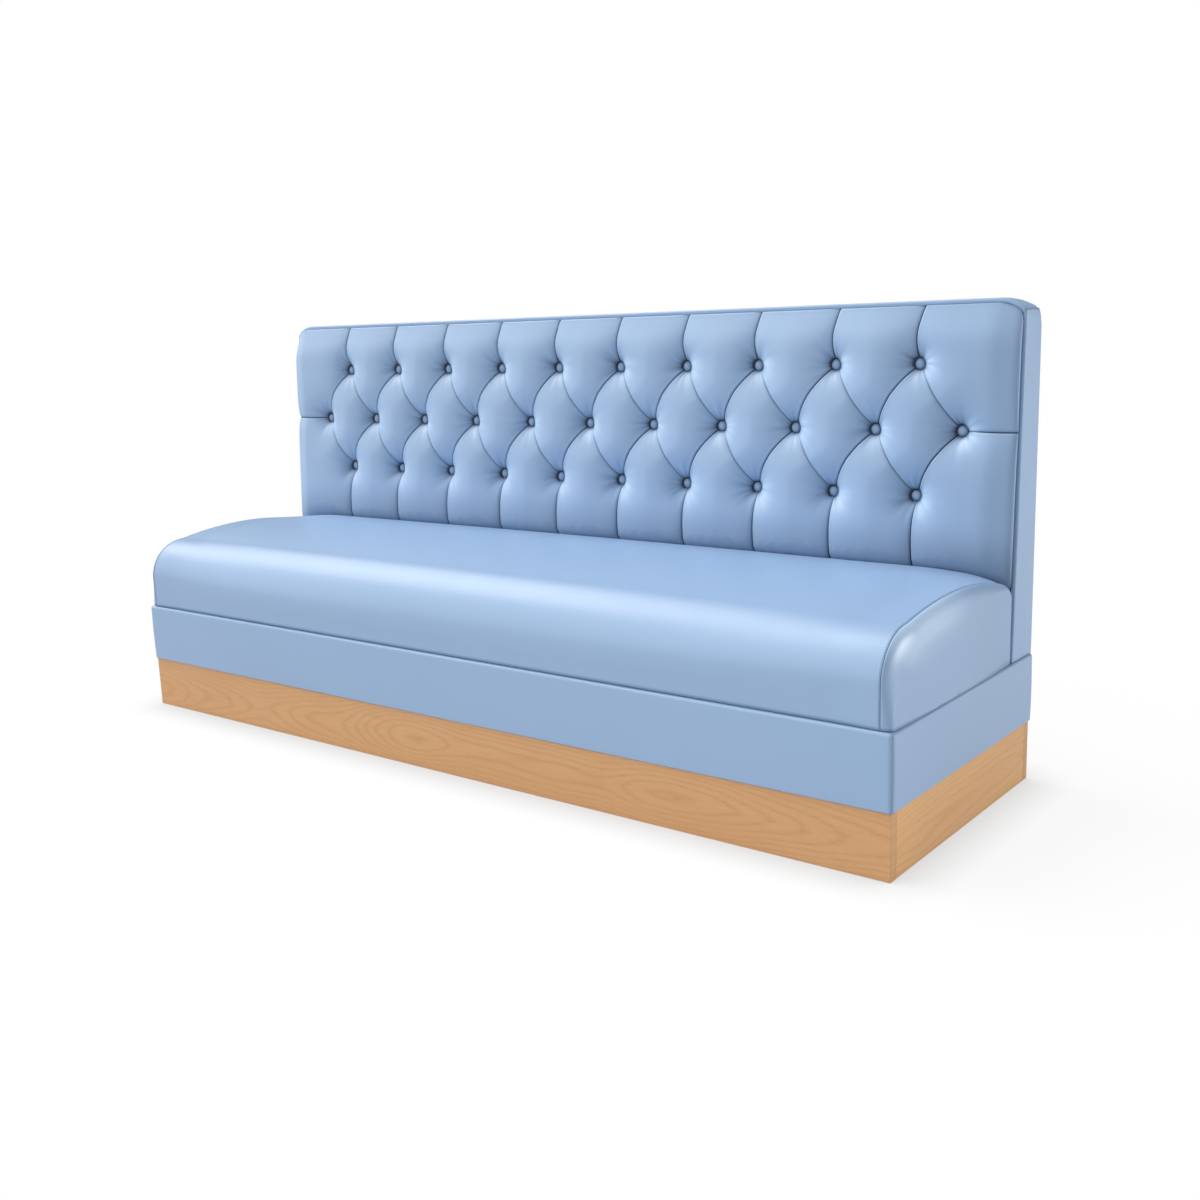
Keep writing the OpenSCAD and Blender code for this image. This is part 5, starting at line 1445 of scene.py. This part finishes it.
# %% Floor
REACH, NEAR_EDGE, FAR_EDGE, PAINTED_CONTACT_SHADOW = 30.0, 0.55, 1.5, 0.52
LONG_WAY, GLOW_NEARBY = 0.55, 0.88
floor_mesh = bpy.data.meshes.new("floor")
floor_mesh.from_pydata([(-REACH, -REACH, 0), (REACH, -REACH, 0), (REACH, REACH, 0),
                        (-REACH, REACH, 0)], [], [(0, 1, 2, 3)])
floor = bpy.data.objects.new("floor", floor_mesh)
bpy.context.scene.collection.objects.link(floor)
paper = Finish("floor", roughness=0.9, specular_ior_level=0.0)
spot, (floor_x, floor_y, _) = paper.place()
straight, mirrored, through = paper.outputs(
    "ShaderNodeLightPath", ("Is Camera Ray", "Is Glossy Ray", "Is Transmission Ray"))
seen = paper.reckon("MAXIMUM", straight, paper.reckon("MAXIMUM", mirrored, through))
away = ((floor_x * LONG_WAY) ** 2.0 + floor_y ** 2.0) ** 0.5
nearby = paper.node("ShaderNodeAmbientOcclusion", {"samples": 12}, {"Distance": 0.11}, out="AO")
paper.feed(base_color=paper.blend(seen, (0.62, 0.62, 0.62, 1), (0.93, 0.93, 0.935, 1)),
           roughness=0.85 + paper.noise(spot, 40.0, 3.0) * 0.1)
# The glow is painted darker where the bench closes it in: a painted contact shadow.
glow = paper.node("ShaderNodeEmission", None, {
    "Color": paper.blend(nearby, (PAINTED_CONTACT_SHADOW, PAINTED_CONTACT_SHADOW, PAINTED_CONTACT_SHADOW, 1), (1, 1, 1, 1)),
    "Strength": 1.0})
both = paper.node("ShaderNodeMixShader", None, {
    0: (paper.limited(away, NEAR_EDGE, FAR_EDGE) * (1 - GLOW_NEARBY) + GLOW_NEARBY) * seen,
    1: Wire(paper, paper.surface.outputs[0]), 2: glow})
paper.join(paper.tree.nodes["Material Output"].inputs["Surface"], both)
floor_mesh.materials.append(paper.material)
print("floor fades to white beyond", FAR_EDGE, "m")

# %% Surround and lamps
world = bpy.data.worlds.new("surround")
bpy.context.scene.world = world
world.use_nodes = True
world.node_tree.nodes.clear()
sky = Nodes(world.node_tree)
soft, white = (sky.node("ShaderNodeBackground", None, {"Color": colour, "Strength": strength})
               for colour, strength in (((0.96, 0.98, 1.0, 1), 0.22), ((1, 1, 1, 1), 1.0)))
clear_view = sky.reckon("MAXIMUM", *sky.outputs(
    "ShaderNodeLightPath", ("Is Camera Ray", "Is Transmission Ray")))
world_out = world.node_tree.nodes.new("ShaderNodeOutputWorld")
sky.join(world_out.inputs[0], sky.node("ShaderNodeMixShader", None,
                                       {0: clear_view, 1: soft, 2: white}))


def lamp(name, way, strength, spread):
    """A far lamp that shines from the direction way, with a spread in degrees."""
    light = bpy.data.lights.new(name, "SUN")
    light.energy, light.angle = strength, math.radians(spread)
    obj = bpy.data.objects.new(name, light)
    bpy.context.scene.collection.objects.link(obj)
    obj.location = Vector(way) * 3
    obj.rotation_mode = "QUATERNION"
    obj.rotation_quaternion = Vector(way).to_track_quat("Z", "Y")


lamp("key", (-0.62, -0.57, 0.54), 2.45, 90)
lamp("strip", (-0.63, 0.02, 0.77), 1.85, 34)
lamp("fill", (0.80, 0.56, 0.05), 2.2, 20)
bpy.context.scene.view_settings.view_transform = "Standard"
print("three lamps and a soft surround")

# %% [markdown]
# ## Size and finish
#
# The dressed bench stays in the frame's box, apart from the little that cloth may stand proud.

# %% End
print("end of the script")
